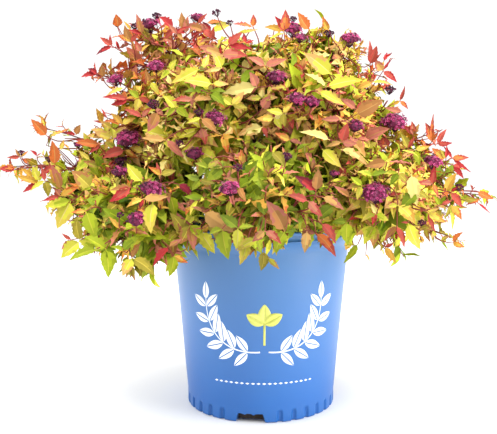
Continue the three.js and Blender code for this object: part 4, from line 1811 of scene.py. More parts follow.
@dataclass
class HeadMaker:
    """Builds flower heads: a shallow dome of five-petalled florets and round buds on thin stalks."""

    draw: np.random.Generator
    floret_radius: float = 2.3
    bud_radius: float = 1.2
    dome_round: float = 0.6  # the dome's radius of curvature as a share of the head's width
    crowding: float = 0.95  # how much of the dome's area the florets would cover
    clusters: int = 7
    cluster_rise: float = 0.13  # how far a cluster swells out of the dome, as a share of its radius
    cluster_reach: float = 0.03
    petals: int = 5
    stamens: int = 6

    # Points of one petal, of a bud's or centre's ring and of one stamen: radius, angle in radians and height,
    # for a flower of radius one.
    kite = np.array([(0.12, 0.0, 0.0), (0.62, -0.62, 0.16), (1.0, 0.0, 0.34), (0.62, 0.62, 0.16)])
    button = np.array([(0.3, 0.6, 0.05)])
    needle = np.array([(0.16, -0.3, 0.1), (0.16, 0.3, 0.1), (0.62, 0.0, 0.86)])

    # The profile of the mass of stalks and buds under a dome: radius and height, as shares of its width.
    cushion_profile = np.array(
        [(0.1, -0.36), (0.3, -0.22), (0.41, -0.2), (0.42, -0.13), (0.33, 0.0), (0.16, 0.07)]
    )

    def floret_pattern(self) -> tuple[np.ndarray, list[np.ndarray], np.ndarray]:
        """One floret of radius one, facing +Z: five kite-shaped petals that rise a little, round a low
        centre, and slim stamens that spread out above them.

        Returns:
            Its points, its blocks of faces, and 0, 1 or 2 for each face: petal, centre or stamen.
        """
        turns = ring_angles(self.petals)
        sweeps = ring_angles(self.stamens) + 0.4 * 2.0 * math.pi / self.stamens
        petal, button, stamen = (
            round_axis(part[:, 0], turn[:, None] + part[:, 1], part[:, 2]).reshape(-1, 3)
            for part, turn in ((self.kite, turns), (self.button, turns), (self.needle, sweeps))
        )
        points = np.concatenate([petal, button, [0.24 * UP], stamen])
        ring = np.arange(self.petals)
        start = len(petal)
        quads = np.arange(start).reshape(-1, len(self.kite))
        centre = start + self.petals
        cone = np.stack([start + ring, start + (ring + 1) % self.petals, np.full(self.petals, centre)], -1)
        needles = centre + 1 + np.arange(len(stamen)).reshape(-1, 3)
        faces = [quads, cone, needles]
        return points, faces, np.concatenate([np.full(len(block), part) for part, block in enumerate(faces)])

    def bud_pattern(self) -> tuple[np.ndarray, list[np.ndarray]]:
        """One round bud of radius one: two rings of five points between two poles.

        Returns:
            Its points and its blocks of faces.
        """
        angle = ring_angles(5)
        ball = Surface.capped(
            np.stack([round_axis(0.85, angle, -0.45), round_axis(0.85, angle + 0.63, 0.5)]), -UP, UP
        )
        return ball.points, ball.faces

    def dome(self, head: Head) -> tuple[np.ndarray, np.ndarray, np.ndarray]:
        """Where the flowers of a head stand: a sunflower spiral over a round cap, jostled a little.

        Args:
            head: the head.

        Returns:
            The flowers' places, the ways they face, and whether each is open.
        """
        round_radius = self.dome_round * head.width
        reach = math.asin(min(0.5 * head.width / round_radius, 1.0))
        each = self.floret_radius if head.stage is not Stage.BUD else 1.5 * self.bud_radius
        area = 2.0 * math.pi * round_radius**2 * (1.0 - math.cos(reach))
        count = max(7, int(area * self.crowding / (each * each * 1.9)))
        order = np.arange(count)
        polar = np.arccos(1.0 - (1.0 - math.cos(reach)) * (order + 0.5) / count)
        turn = order * GOLDEN_TURN + self.draw.uniform(0, 2 * math.pi)
        wish = (0.3, 0.2, 0.93) if abs(head.axis[2]) < 0.9 else (1.0, 0.1, 0.0)
        side = square_to(head.axis, np.array(wish))
        other = np.cross(head.axis, side)
        way = (
            np.cos(polar)[:, None] * head.axis
            + (np.sin(polar) * np.cos(turn))[:, None] * side
            + (np.sin(polar) * np.sin(turn))[:, None] * other
        )
        way = unit(way + self.draw.normal(0, 0.07, (count, 3)))
        hearts = way[self.draw.choice(count, min(self.clusters, count), replace=False)]
        near = np.max(way @ hearts.T, axis=1, keepdims=True)
        swell = self.cluster_rise * np.exp((near - 1.0) / self.cluster_reach)
        reach_out = round_radius * (0.93 + swell + self.draw.normal(0, 0.03, (count, 1)))
        place = head.top - head.axis * round_radius + way * reach_out
        bright_side = unit(side + self.draw.normal(0, 0.5, 3))
        rank = way @ bright_side + self.draw.normal(0, 0.22, count)
        shut = 1.0 - head.stage.value
        is_open = rank > np.quantile(rank, shut) if shut < 1.0 else np.zeros(count, bool)
        return place, unit(way + self.draw.normal(0, 0.22, (count, 3))), is_open

    def flowers(self, head: Head, looks: dict[Petal, int]) -> list[Surface]:
        """One head's florets and buds.

        Args:
            head: the head.
            looks: each petal colour's number.

        Returns:
            The surfaces, with the head's stalks and, under flowers, its cushion.
        """
        parts: list[Surface] = []
        place, way, is_open = self.dome(head)
        side = square_to(way, self.draw.normal(0, 1, way.shape))
        axes = (side, np.cross(way, side), way)
        if is_open.any():
            points, faces, part = self.floret_pattern()
            size = self.floret_radius * self.draw.uniform(0.85, 1.15, (int(is_open.sum()), 1, 1))
            where = carried(points * size, place[is_open], *(axis[is_open] for axis in axes))
            choice = [looks[Petal.MAGENTA], looks[Petal.PINK], looks[Petal.WINE]]
            colour = self.draw.choice(choice, len(where), p=[0.55, 0.2, 0.25])
            middle = np.where(part == 1, looks[Petal.WINE], looks[Petal.PALE])
            dealt = np.where(part == 0, colour[:, None], middle)
            cuts = np.cumsum([len(block) for block in faces])[:-1]
            parts.append(Surface.repeated(where, faces, np.split(dealt, cuts, axis=1)))
        if not is_open.all():
            points, faces = self.bud_pattern()
            shut = ~is_open
            size = self.bud_radius * self.draw.uniform(0.8, 1.25, (int(shut.sum()), 1, 1))
            where = carried(points * size, place[shut], *(axis[shut] for axis in axes))
            colour = self.draw.choice([looks[Petal.BUD], looks[Petal.WINE]], len(where), p=[0.65, 0.35])
            parts.append(Surface.repeated(where, faces, [colour[:, None]] * len(faces)))
        parts.append(self.stalks(head, place, looks[Petal.BUD]))
        if head.stage is not Stage.BUD:
            parts.append(self.cushion(head, looks[Petal.WINE]))
        return parts

    def build(self, name: str, heads: Sequence[Head]) -> None:
        """Makes one piece of flowers from several heads.

        Args:
            name: the piece's name.
            heads: the heads.
        """
        looks = {petal: number for number, petal in enumerate(Petal)}
        parts = [part for head in heads for part in self.flowers(head, looks)]
        materials = [petal.material() for petal in Petal]
        settle(Surface.joined(parts).object(name, materials, smooth=False), Slot.BLOSSOM)

    def cushion(self, head: Head, look: int) -> Surface:
        """The tight mass of stalks and buds under the flowers, as a closed low dome: a profile of radius and
        height that is carried round the head's axis.

        Args:
            head: the head.
            look: the number of its colour.

        Returns:
            The dome.
        """
        profile = self.cushion_profile
        line = head.top + head.axis * (profile[:, 1:] - 0.12) * head.width
        return tubes(line[None], profile[None, :, 0] * head.width, 12, np.array([look]))

    def stalks(self, head: Head, place: np.ndarray, look: int) -> Surface:
        """Thin stalks that fan out from one point under the dome to its flowers.

        Args:
            head: the head.
            place: where its flowers stand.
            look: the number of their colour.

        Returns:
            The stalks.
        """
        base = head.top - head.axis * 0.72 * head.width
        ends = place[:: max(1, len(place) // 16)]
        middle = lerp(base, ends, 0.55) - head.axis * 0.05 * head.width
        lines = np.stack([np.broadcast_to(base, ends.shape), middle, ends - head.axis * 0.4], axis=1)
        radii = np.broadcast_to([0.4, 0.3, 0.25], lines.shape[:2])
        return tubes(lines, radii, 3, np.full(len(lines), look))


# ---- The viewer ----


@dataclass
class Viewpoint:
    """Where the shrub is looked at from."""

    place: Triple = (-15.8, -1000.0, 340.0)
    pitch: float = 5.92  # degrees down
    lens: float = 57.2
    sensor: float = 36.0
    image: tuple[int, int] = (497, 434)

    @property
    def focal_pixels(self) -> float:
        """The lens's length in pixels."""
        return self.lens / self.sensor * self.image[0]

    def ray(self, x: float, y: float) -> tuple[np.ndarray, np.ndarray]:
        """The line of sight through a pixel.

        Args:
            x: pixels from the left.
            y: pixels from the top.

        Returns:
            The eye's place and a unit direction.
        """
        tilt = math.radians(self.pitch)
        forward = np.array([0.0, math.cos(tilt), -math.sin(tilt)])
        upward = np.array([0.0, math.sin(tilt), math.cos(tilt)])
        right = np.array([1.0, 0.0, 0.0])
        across = (x - self.image[0] / 2.0) / self.focal_pixels
        rise = (self.image[1] / 2.0 - y) / self.focal_pixels
        return np.array(self.place), unit(forward + across * right + rise * upward)

    def in_gap(self, points: np.ndarray) -> np.ndarray:
        """Which points stand in a gap that the viewer sees through.

        Args:
            points: the points.

        Returns:
            True for each point inside a gap's cone.
        """
        inside = np.zeros(len(points), bool)
        for gap in SEEN_GAPS:
            eye, way = self.ray(gap.x, gap.y)
            depth = (points - eye) @ way
            aside = np.linalg.norm(points - eye - depth[:, None] * way, axis=1)
            inside |= aside < gap.radius * depth / self.focal_pixels
        return inside

    def build(self) -> None:
        """Makes the camera."""
        data = bpy.data.cameras.new("viewer")
        data.lens = self.lens
        data.sensor_width = self.sensor
        data.clip_start = 0.01
        camera = bpy.data.objects.new("viewer", data)
        camera.location = Vector(self.place) * MM
        camera.rotation_euler = (math.radians(90.0 - self.pitch), 0.0, 0.0)
        bpy.context.scene.collection.objects.link(camera)
        bpy.context.scene.camera = camera


# ---- The crown ----


class Skin:
    """The outside of all the foliage nodes, as one set of triangles that rays can meet."""

    search: Triple = (600.0, 1400.0, 4.0)  # where a line that misses the skin is searched: from, to, step

    def __init__(self, names: Sequence[str]) -> None:
        """Reads the nodes.

        Args:
            names: the foliage nodes.
        """
        self.names = list(names)
        points, triangles, owner, start = [], [], [], 0
        for number, name in enumerate(self.names):
            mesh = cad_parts[name].data
            mesh.calc_loop_triangles()
            at = np.empty(3 * len(mesh.vertices), np.float32)
            mesh.vertices.foreach_get("co", at)
            corners = np.empty(3 * len(mesh.loop_triangles), np.int32)
            mesh.loop_triangles.foreach_get("vertices", corners)
            points.append(at.reshape(-1, 3).astype(float) / MM)
            triangles.append(corners.reshape(-1, 3) + start)
            owner.append(np.full(len(mesh.loop_triangles), number))
            start += len(mesh.vertices)
        self.points = np.concatenate(points)
        self.triangles = np.concatenate(triangles)
        self.owner = np.concatenate(owner)
        self.tree = BVHTree.FromPolygons(self.points.tolist(), self.triangles.tolist())
        a, b, c = (self.points[self.triangles[:, k]] for k in range(3))
        cross = np.cross(b - a, c - a)
        self.area = np.linalg.norm(cross, axis=1) / 2.0
        self.normal = unit(cross)

    def scatter(self, count: int, draw: np.random.Generator) -> tuple[np.ndarray, np.ndarray, np.ndarray]:
        """Points spread evenly over the skin.

        Args:
            count: how many.
            draw: the source of chance.

        Returns:
            The points, the normals there and the numbers of their nodes.
        """
        face = draw.choice(len(self.area), count, p=self.area / self.area.sum())
        u, v = draw.random((2, count, 1))
        u, v = np.where(u + v > 1, 1 - u, u), np.where(u + v > 1, 1 - v, v)
        a, b, c = (self.points[self.triangles[face, k]] for k in range(3))
        return a + u * (b - a) + v * (c - a), self.normal[face], self.owner[face]

    def is_open(self, point: np.ndarray, normal: np.ndarray, reach: float) -> bool:
        """Whether nothing stands in front of a point of the skin within reach."""
        hit = self.tree.ray_cast(Vector(point + normal), Vector(normal), reach)
        return hit[0] is None

    def met_by(self, eye: np.ndarray, way: np.ndarray) -> tuple[np.ndarray, np.ndarray, str, bool]:
        """Where a line of sight meets the skin, or else the point of the line that passes nearest to it.

        Args:
            eye: where the line starts.
            way: its unit direction.

        Returns:
            The point, the normal, the name of the node, and whether the line meets the skin.
        """
        place, normal, face, _ = self.tree.ray_cast(Vector(eye), Vector(way))
        is_met = place is not None
        if not is_met:
            steps = eye + way * np.arange(*self.search)[:, None]
            nearest = [self.tree.find_nearest(Vector(step)) for step in steps]
            best = int(np.argmin([found[3] for found in nearest]))
            place, (_, normal, face, _) = steps[best], nearest[best]
        return np.array(place), np.array(normal), self.names[self.owner[face]], is_met


@dataclass
class Limbs:
    """The woody foot and the boughs that spring from it, one to each mass."""

    rise: float = 0.72  # the share of its climb that a bough has made at its bend
    sway: float = 16.0  # how far a bough turns aside at its bend at most
    sway_seed: int = 91
    bough_foot: float = 3.2
    bough_tip: float = 1.7
    bough_points: int = 40
    bough_rings: int = 56
    bough_sides: int = 12
    stem_base: float = 205.3
    stem_height: float = 30.0
    stem_foot: float = 27.0
    stem_top: float = 17.0
    stem_lobes: int = 5
    stem_lobe_depth: float = 0.09
    stem_rings: int = 22
    stem_sides: int = 70
    stem_cap: tuple[Pair, ...] = ((0.8, 1.6), (0.45, 2.6))  # shares of its top ring, and rises
    stem_pole: float = 3.0  # how far the cap's middle stands over its top ring
    bark: NoisyFinish = NoisyFinish(
        "shrub_bark", ((0.3, (58, 34, 24)), (0.5, (92, 58, 40)), (0.72, (132, 96, 72))), 210.0,
        (1.0, 1.0, 0.25), 0.85, 0.0008, 0.7,
    )

    def __post_init__(self) -> None:
        """Works out each bough's line: a quadratic Bezier curve out of the foot, up with a bend to one side,
        and over to the middle of its mass."""
        chance = iter(plant_lottery(self.sway_seed, len(HOMES)))
        self.lines: dict[str, np.ndarray] = {}
        for name, (tier, spot) in HOMES.items():
            start = around(spot.azimuth, tier.foot_distance, tier.foot_height)
            turn = spot.azimuth + self.sway * (2.0 * next(chance) - 1.0)
            bend = around(turn, tier.bend, lerp(tier.foot_height, spot.height, self.rise))
            self.lines[name] = bezier([start, bend, spot.middle], self.bough_points)

    def boughs(self, draw: np.random.Generator) -> Surface:
        """The boughs with their bark's relief: an even taper, times long ridges that wander round it and
        swellings where twigs once stood.

        Args:
            draw: the source of chance.

        Returns:
            All boughs as one surface.
        """
        angle = ring_angles(self.bough_sides)
        share = np.linspace(0.0, 1.0, self.bough_rings)[:, None]
        lines = np.stack([resampled(line, self.bough_rings) for line in self.lines.values()])
        start = draw.uniform(0, 2 * math.pi, (len(lines), 1, 1))
        wide_ridges = 0.07 * np.sin(3.0 * angle + 5.0 * share + start)
        fine_ridges = 0.05 * np.sin(5.0 * angle - 9.0 * share)
        swellings = 0.16 * np.exp(-(((share * 9.0 + start) % 1.0 - 0.5) ** 2) / 0.008)
        radii = lerp(self.bough_foot, self.bough_tip, share) * (1.0 + wide_ridges + fine_ridges + swellings)
        return tubes(lines, radii, self.bough_sides, np.zeros(len(lines), int))

    def foot(self) -> Surface:
        """The foot: rings of a lobed circle between two closed ends, whose radius falls with the root of its
        height, with a bark of fine ridges.

        Returns:
            The foot's surface.
        """
        share = np.linspace(0.0, 1.0, self.stem_rings)[:, None]
        angle = ring_angles(self.stem_sides)[None]
        flare = lerp(self.stem_foot, self.stem_top, np.sqrt(share))
        lobes = 1.0 + self.stem_lobe_depth * np.cos(self.stem_lobes * angle)
        ridges = 1.0 + 0.022 * np.sin(17.0 * angle + 4.0 * share) + 0.016 * np.sin(29.0 * angle - 7.0 * share)
        walls = round_axis(flare * lobes * ridges, angle, self.stem_base + share * self.stem_height)
        cap = [walls[-1] * [part, part, 1.0] + rise * UP for part, rise in self.stem_cap]
        pole = self.stem_base + self.stem_height + self.stem_pole
        return Surface.capped(np.concatenate([walls, cap]), self.stem_base * UP, pole * UP)

    def build(self, draw: np.random.Generator) -> None:
        """Makes the limbs' piece, which stands for the stem base and the boughs."""
        piece = Surface.joined([self.boughs(draw), self.foot()]).object("bark_limbs", [self.bark.material()])
        settle(piece, Slot.BARK, "stem_base", *(f"bough_{name}" for name in HOMES))


@dataclass(frozen=True)
class End:
    """Where a shoot of the crown ends, with the skin's normal there and its node."""

    place: np.ndarray
    normal: np.ndarray
    home: str


@dataclass
class Crown:
    """Everything above the pot: limbs, branches, twigs, leaves and flower heads."""

    pot: Pot
    viewpoint: Viewpoint
    limbs: Limbs = field(default_factory=Limbs)
    seed: int = 27

    # The bare space under the crown: its radius at rising heights.
    hollow: tuple[Pair, ...] = (
        (118.5, 0), (118.5, 237), (88, 250), (52, 290), (24, 320), (0, 350),
    )
    hollow_probe: float = 6.0  # how far in front of the skin the hollow is looked for
    gap_probe: float = 8.0  # and a gap
    samples: int = 14000
    tip_inset: float = 9.0  # from the skin to a shoot's tip
    see_out: float = 13.0  # how far a tip needs open air in front of it
    shade_spread: float = 30.0  # between shoots where masses press on each other
    shade_inset: float = 4.0
    underside: float = -0.55  # the normal's height from which the skin is the crown's underside
    underside_spread: float = 1.4  # how much farther apart shoots end there
    heart: Triple = (-8.0, 0.0, 285.0)  # the crown's middle, from which creases are measured
    fair_angle: float = 11.0
    fair_share: float = 0.75  # of the skin round about, that lies nearer to the heart than the outline
    fair_inset: float = 6.0
    fair_most: float = 60.0
    bridge_least: float = 8.0  # how far a crease must lie behind the outline for a shoot to bridge it
    head_lift: float = 5.0  # from the skin to the top of a flower head that the viewer sees
    head_near: float = 3.0  # and from there to the viewer
    head_clear: Pair = (0.35, 6.0)  # from a head to a shoot's end: in widths, and so much more
    seeded_share: float = 0.13  # of the shoots out of the viewer's sight, that flower
    seeded_from: float = 60.0  # how far behind the axis they stand at least
    out_of_sight: float = -0.35  # the cosine, from normal to viewer, below which a shoot isn't seen
    seeded_bud: Pair = (10.0, 14.0)  # least and greatest width
    seeded_flower: Pair = (17.0, 31.0)
    seeded_stalk: float = 14.0
    shoots_per_branch: float = 4.5
    least_branches: int = 3
    branch_spring: Pair = (0.62, 0.97)  # where branches leave their bough, as shares of it
    branch_reach: float = 0.56  # how far a branch runs from its mass's middle to its targets' middle
    branch_radii: Pair = (1.7, 1.0)  # at the foot and at the tip
    branch_points: int = 16
    twig_spring: Pair = (0.25, 0.98)
    twig_radii: Pair = (1.05, 0.5)
    twig_points: int = 14
    twig_rings: int = 8
    twig_sides: int = 4
    old_radius: float = 1.2  # from which a twig's foot has old wood's colour
    inner_shoots: int = 4  # on each branch
    inner_spring: Pair = (0.3, 0.95)
    inner_length: Pair = (34.0, 52.0)
    flower_neck: float = 3.0  # the length without leaves under a flower head
    lone_radii: Pair = (1.4, 0.45)
    lone_points: int = 26
    side_radii: Pair = (0.8, 0.45)
    side_shares: tuple[float, ...] = (0.5, 0.62, 0.74, 0.84)  # where a lone shoot's side shoots leave it
    side_length: Pair = (24.0, 44.0)
    side_points: int = 10
    spray_lift: float = 13.0  # how far the leaves that the viewer sees stand in front of the skin
    spray_depth: Pair = (-0.15, 0.35)  # how far their tips come forward, in lengths
    spray_swell: float = 1.16  # how much wider they are than they look, as they are folded
    spray_fold: Pair = (0.15, 0.5)
    spray_curl: Pair = (0.0, 0.45)
    spray_wave: Pair = (0.0, 0.12)
    tested: Triple = (0.25, 0.6, 1.0)  # the places along a leaf that have to be clear
    pot_room: float = 2.0
    box_room: float = 12.0  # how far leaves may stand out of the frame's box
    head_shafts: Pair = (0.42, 0.44)  # radii in widths of the clear shafts over a head
    shaft_ends: Pair = (28.0, 70.0)  # and their lengths: on the head's axis, to the viewer
    head_room: float = 3.0
    spray_room: float = 1.5
    spray_shaft: Pair = (2.0, 60.0)  # where the clear shaft before a seen leaf starts and ends

    def __post_init__(self) -> None:
        """Reads the frame's foliage."""
        self.draw = np.random.default_rng(self.seed)
        self.skin = Skin([*HOMES, *LONES])
        self.branches: dict[str, list[np.ndarray]] = {name: [] for name in (*HOMES, *LONES)}
        self.twigs: list[Twig] = []
        self.heads: list[Head] = []
        self.sprays: list[tuple[Leaves, str]] = []
        self.arms = np.empty((0, 3))  # from the heart to points of the skin

    def in_hollow(self, point: np.ndarray) -> bool:
        """Whether a point is in the bare space under the crown."""
        radii, heights = np.array(self.hollow).T
        return math.hypot(point[0], point[1]) < np.interp(point[2], heights, radii, right=0.0)

    def in_gap(self, point: np.ndarray) -> bool:
        """Whether a point stands in a gap that the viewer sees through."""
        return bool(self.viewpoint.in_gap(point[None])[0])

    # -- Where shoots end --

    def place_heads(self) -> None:
        """Puts the flower heads that the viewer sees on the skin, each facing up and out."""
        for seen in SEEN_HEADS:
            eye, way = self.viewpoint.ray(seen.x, seen.y)
            place, normal, home, _ = self.skin.met_by(eye, way)
            width = seen.width * float(np.linalg.norm(place - eye)) / self.viewpoint.focal_pixels
            axis = unit(0.25 * normal + 0.95 * UP - 0.3 * way + self.draw.normal(0, 0.1, 3))
            top = place + self.head_lift * normal - self.head_near * way
            self.heads.append(Head(top, axis, width, seen.stage, home))

    def shoot_ends(self) -> tuple[list[End], list[End]]:
        """Where the crown's shoots end: points spread over the skin, none nearer to another of its kind or to
        a flower head than its neighbourhood's spread. Those with open air in front bear the crown's leaves,
        and those where one mass presses on the next bear leaves in the shade.

        Returns:
            The open ends and the shaded ones.
        """
        points, normals, owners = self.skin.scatter(self.samples, self.draw)
        self.arms = points - self.heart
        chosen: list[End] = []
        shaded: list[End] = []
        heads = np.array([head.top for head in self.heads])
        clear = np.array([self.head_clear[0] * head.width + self.head_clear[1] for head in self.heads])
        for point, normal, owner in zip(points, normals, owners):
            home = self.skin.names[owner]
            is_bare = home in LONES or self.in_hollow(point + self.hollow_probe * normal)
            if is_bare or self.in_gap(point + self.gap_probe * normal):
                continue
            is_open = self.skin.is_open(point, normal, self.see_out)
            looser = self.underside_spread if normal[2] < self.underside else 1.0
            spread = HOMES[home][1].spread * looser if is_open else self.shade_spread
            taken = np.array([end.place for end in (chosen if is_open else shaded)] or [[0.0, 0.0, 0.0]])
            if (np.linalg.norm(taken - point, axis=1) < spread).any():
                continue
            if is_open and not (np.linalg.norm(heads - point, axis=1) < clear).any():
                chosen.append(End(point, normal, home))
            elif not is_open:
                shaded.append(End(point - self.shade_inset * normal, normal, home))
        return chosen, shaded

    def faired(self, point: np.ndarray) -> np.ndarray:
        """A point of a crease between masses, moved out towards the crown's even outline: the distance from
        the crown's heart that three quarters of the skin round about keep within.

        Args:
            point: a point on the skin.

        Returns:
            The point, moved out if it lies in a crease.
        """
        arm = point - self.heart
        reach = float(np.linalg.norm(arm))
        distance = np.linalg.norm(self.arms, axis=1)
        near = (self.arms @ arm) / (distance * reach) > math.cos(math.radians(self.fair_angle))
        outline = float(np.quantile(distance[near], self.fair_share))
        return point + arm / reach * min(max(outline - reach - self.fair_inset, 0.0), self.fair_most)

    def heading(self, end: End) -> np.ndarray:
        """The way a shoot points at its end: out of the skin, away from the axis and up to the light.

        Args:
            end: the end.

        Returns:
            A unit direction.
        """
        outward = unit(end.place * [1.0, 1.0, 0.0])
        lift = 0.6 if end.normal[2] > -0.2 else 0.15
        return unit(0.6 * end.normal + 0.3 * outward + lift * UP + self.draw.normal(0, 0.2, 3))

    # -- Branches and twigs --

    def grow(self) -> None:
        """Grows the crown: its masses, its lone shoots and the sprays that the viewer sees."""
        self.place_heads()
        open_ends, shaded_ends = self.shoot_ends()
        for name in HOMES:
            mine, shaded = ([end for end in ends if end.home == name] for ends in (open_ends, shaded_ends))
            self.grow_mass(name, mine, shaded)
        self.grow_lone_shoots()
        self.grow_sprays()
        log.info("%d twigs and %d flower heads", len(self.twigs), len(self.heads))

    def grow_mass(self, name: str, ends: list[End], shaded: list[End]) -> None:
        """Grows one mass: its ends are split into sectors, a branch runs from the bough into each sector,
        and a twig runs from the branch to each shoot's end or flower head.

        Args:
            name: the mass's node.
            ends: where its shoots end.
            shaded: where its shoots in the shade of another mass end.
        """
        spot = HOMES[name][1]
        blooms = [head for head in self.heads if head.home == name]
        targets = np.array([end.place for end in ends] + [head.top for head in blooms])
        if not len(targets):
            return
        count = max(self.least_branches, round(len(targets) / self.shoots_per_branch))
        sectors = self.sectors(targets, count)
        branches = [self.branch(name, spot, targets[sectors == k]) for k in range(sectors.max() + 1)]
        self.branches[name] = branches
        for sector, end in zip(sectors, ends):
            self.twigs.append(self.shoot(branches[sector], end, spot))
        for sector, head in zip(sectors[len(ends) :], blooms):
            self.twigs.append(self.flowering(branches[sector], head, spot.colours))
        if not spot.is_loose:
            self.fill_inside(name, branches)
            self.fill_shade(name, spot, branches, shaded)

    def shoot(self, branch: np.ndarray, end: End, spot: Spot) -> Twig:
        """The twig to one of a mass's ends, which may flower where the viewer can't see it.

        Args:
            branch: the branch that it leaves.
            end: where it ends.
            spot: the mass's spot.

        Returns:
            The twig.
        """
        way = self.heading(end)
        tip = (end.place if spot.is_loose else self.faired(end.place)) - end.normal * self.tip_inset
        twig = self.twig(branch, tip, way, end.home, spot.colours, Habit.CROWN)
        facing = float(unit(np.array(self.viewpoint.place) - end.place) @ end.normal)
        is_behind = facing < self.out_of_sight and end.normal[2] > -0.1 and end.place[1] > self.seeded_from
        if not is_behind or self.draw.random() >= self.seeded_share:
            return twig
        stage = list(Stage)[self.draw.integers(len(Stage))]
        width = self.draw.uniform(*(self.seeded_bud if stage is Stage.BUD else self.seeded_flower))
        head = Head(tip + way * self.seeded_stalk, unit(way + 0.6 * UP), width, stage, end.home)
        self.heads.append(head)
        return self.flowering(branch, head, spot.colours)

    def sectors(self, targets: np.ndarray, count: int) -> np.ndarray:
        """Splits targets into neighbourhoods: the first centre is the first target, each next centre is the
        target farthest from those before, and each target joins its nearest centre.

        Args:
            targets: the points.
            count: how many neighbourhoods.

        Returns:
            The number of each target's neighbourhood.
        """
        centres = [targets[0]]
        for _ in range(min(count, len(targets)) - 1):
            away = np.min([np.linalg.norm(targets - c, axis=1) for c in centres], axis=0)
            centres.append(targets[int(np.argmax(away))])
        return np.argmin([np.linalg.norm(targets - c, axis=1) for c in centres], axis=0)

    def branch(self, name: str, spot: Spot, targets: np.ndarray) -> np.ndarray:
        """One branch: off the bough and into the midst of its targets, ending well inside the leaves.

        Args:
            name: the mass's node.
            spot: the mass's spot.
            targets: what the branch's twigs run to.

        Returns:
            The branch's line, a cubic Bezier curve.
        """
        bough = self.limbs.lines[name]
        spring = int(len(bough) * self.draw.uniform(*self.branch_spring))
        start, way = bough[spring], unit(bough[spring] - bough[spring - 2])
        end = lerp(spot.middle, targets.mean(axis=0), self.branch_reach)
        reach = np.linalg.norm(end - start)
        line = bezier([start, start + way * 0.45 * reach, end - UP * 0.12 * reach, end], self.branch_points)
        self.twigs.append(Twig(line, *self.branch_radii, name, spot.colours, None))
        return line

    def twig(
        self, branch: np.ndarray, tip: np.ndarray, way: np.ndarray, home: str, colours: Autumn,
        habit: Habit | None,
    ) -> Twig:
        """A twig from a branch to a tip.

        Args:
            branch: the branch's line.
            tip: where the twig ends.
            way: its direction there.
            home: the node that it belongs to.
            colours: its leaves' colours.
            habit: how it carries leaves.

        Returns:
            The twig, on a cubic Bezier curve.
        """
        spring = int(self.draw.uniform(*self.twig_spring) * (len(branch) - 2)) + 1
        start, along = branch[spring], unit(branch[spring] - branch[spring - 1])
        reach = np.linalg.norm(tip - start)
        controls = [start, start + along * 0.4 * reach, tip - way * 0.5 * reach, tip]
        return Twig(bezier(controls, self.twig_points), *self.twig_radii, home, colours, habit)

    def flowering(self, branch: np.ndarray, head: Head, colours: Autumn) -> Twig:
        """The twig that bears a flower head, bare just under it.

        Args:
            branch: the branch that it leaves.
            head: the head.
            colours: its leaves' colours.

        Returns:
            The twig.
        """
        foot = head.top - head.axis * 0.7 * head.width
        twig = self.twig(branch, foot, head.axis, head.home, colours, Habit.BLOOMING)
        twig.bare_tip = self.flower_neck
        return twig

    def fill_inside(self, name: str, branches: Sequence[np.ndarray]) -> None:
        """Grows short shoots in the shade inside a mass.

        Args:
            name: the mass's node.
            branches: the lines of its branches.
        """
        for branch in branches:
            for _ in range(self.inner_shoots):
                spring = int(self.draw.uniform(*self.inner_spring) * (len(branch) - 2)) + 1
                way = unit(self.draw.normal(0, 1, 3) + 0.4 * UP)
                tip = branch[spring] + way * self.draw.uniform(*self.inner_length)
                if not self.in_hollow(tip):
                    self.twigs.append(self.twig(branch, tip, way, name, Autumn.SHADE, Habit.INNER))

    def fill_shade(self, name: str, spot: Spot, branches: Sequence[np.ndarray], shaded: list[End]) -> None:
        """Grows shoots in the shade between masses, and where the crease is deep one more that bridges it.

        Args:
            name: the mass's node.
            spot: the mass's spot.
            branches: the lines of its branches.
            shaded: where the shoots end.
        """
        for point in [end.place for end in shaded]:
            near = self.nearest(branches, point)
            outer = self.faired(point)
            way = unit(unit(point - spot.middle) + 0.5 * UP + self.draw.normal(0, 0.3, 3))
            self.twigs.append(self.twig(near, point, way, name, Autumn.SHADE, Habit.INNER))
            if np.linalg.norm(outer - point) > self.bridge_least and not self.in_gap(outer):
                out = unit(unit(outer - self.heart) + 0.45 * UP + self.draw.normal(0, 0.2, 3))
                self.twigs.append(self.twig(near, outer, out, name, spot.colours, Habit.CROWN))

    @staticmethod
    def nearest(branches: Sequence[np.ndarray], point: np.ndarray) -> np.ndarray:
        """The branch whose end is nearest to a point."""
        return min(branches, key=lambda line: float(np.linalg.norm(line[-1] - point)))

    def grow_lone_shoots(self) -> None:
        """The shoots that stand out of the crown: a main stem with leaves, short side shoots near its foot,
        and the stalks of flower heads that the viewer sees on it."""
        for name, lone in LONES.items():
            main = lone.line(self.lone_points)
            stem = Twig(main, *self.lone_radii, name, lone.colours, Habit.LONE, leaf_gap=lone.leaf_gap)
            self.twigs.append(stem)
            heading = unit(main[-1] - main[-6])
            for share in self.side_shares:
                at = main[int(share * (len(main) - 1))]
                sideways = unit(np.cross(heading, self.draw.normal(0, 1, 3)))
                way = unit(0.75 * heading + 0.7 * sideways + 0.25 * UP)
                tip = at + way * self.draw.uniform(*self.side_length) * (1.25 - share)
                line = bezier([at, at + heading * 8.0, tip - way * 10.0, tip], self.side_points)
                self.twigs.append(Twig(line, *self.side_radii, name, lone.colours, Habit.LONE))
            self.branches[name] = [main[: len(main) * 3 // 4]]
            for head in [head for head in self.heads if head.home == name]:
                self.twigs.append(self.flowering(self.branches[name][0], head, lone.colours))

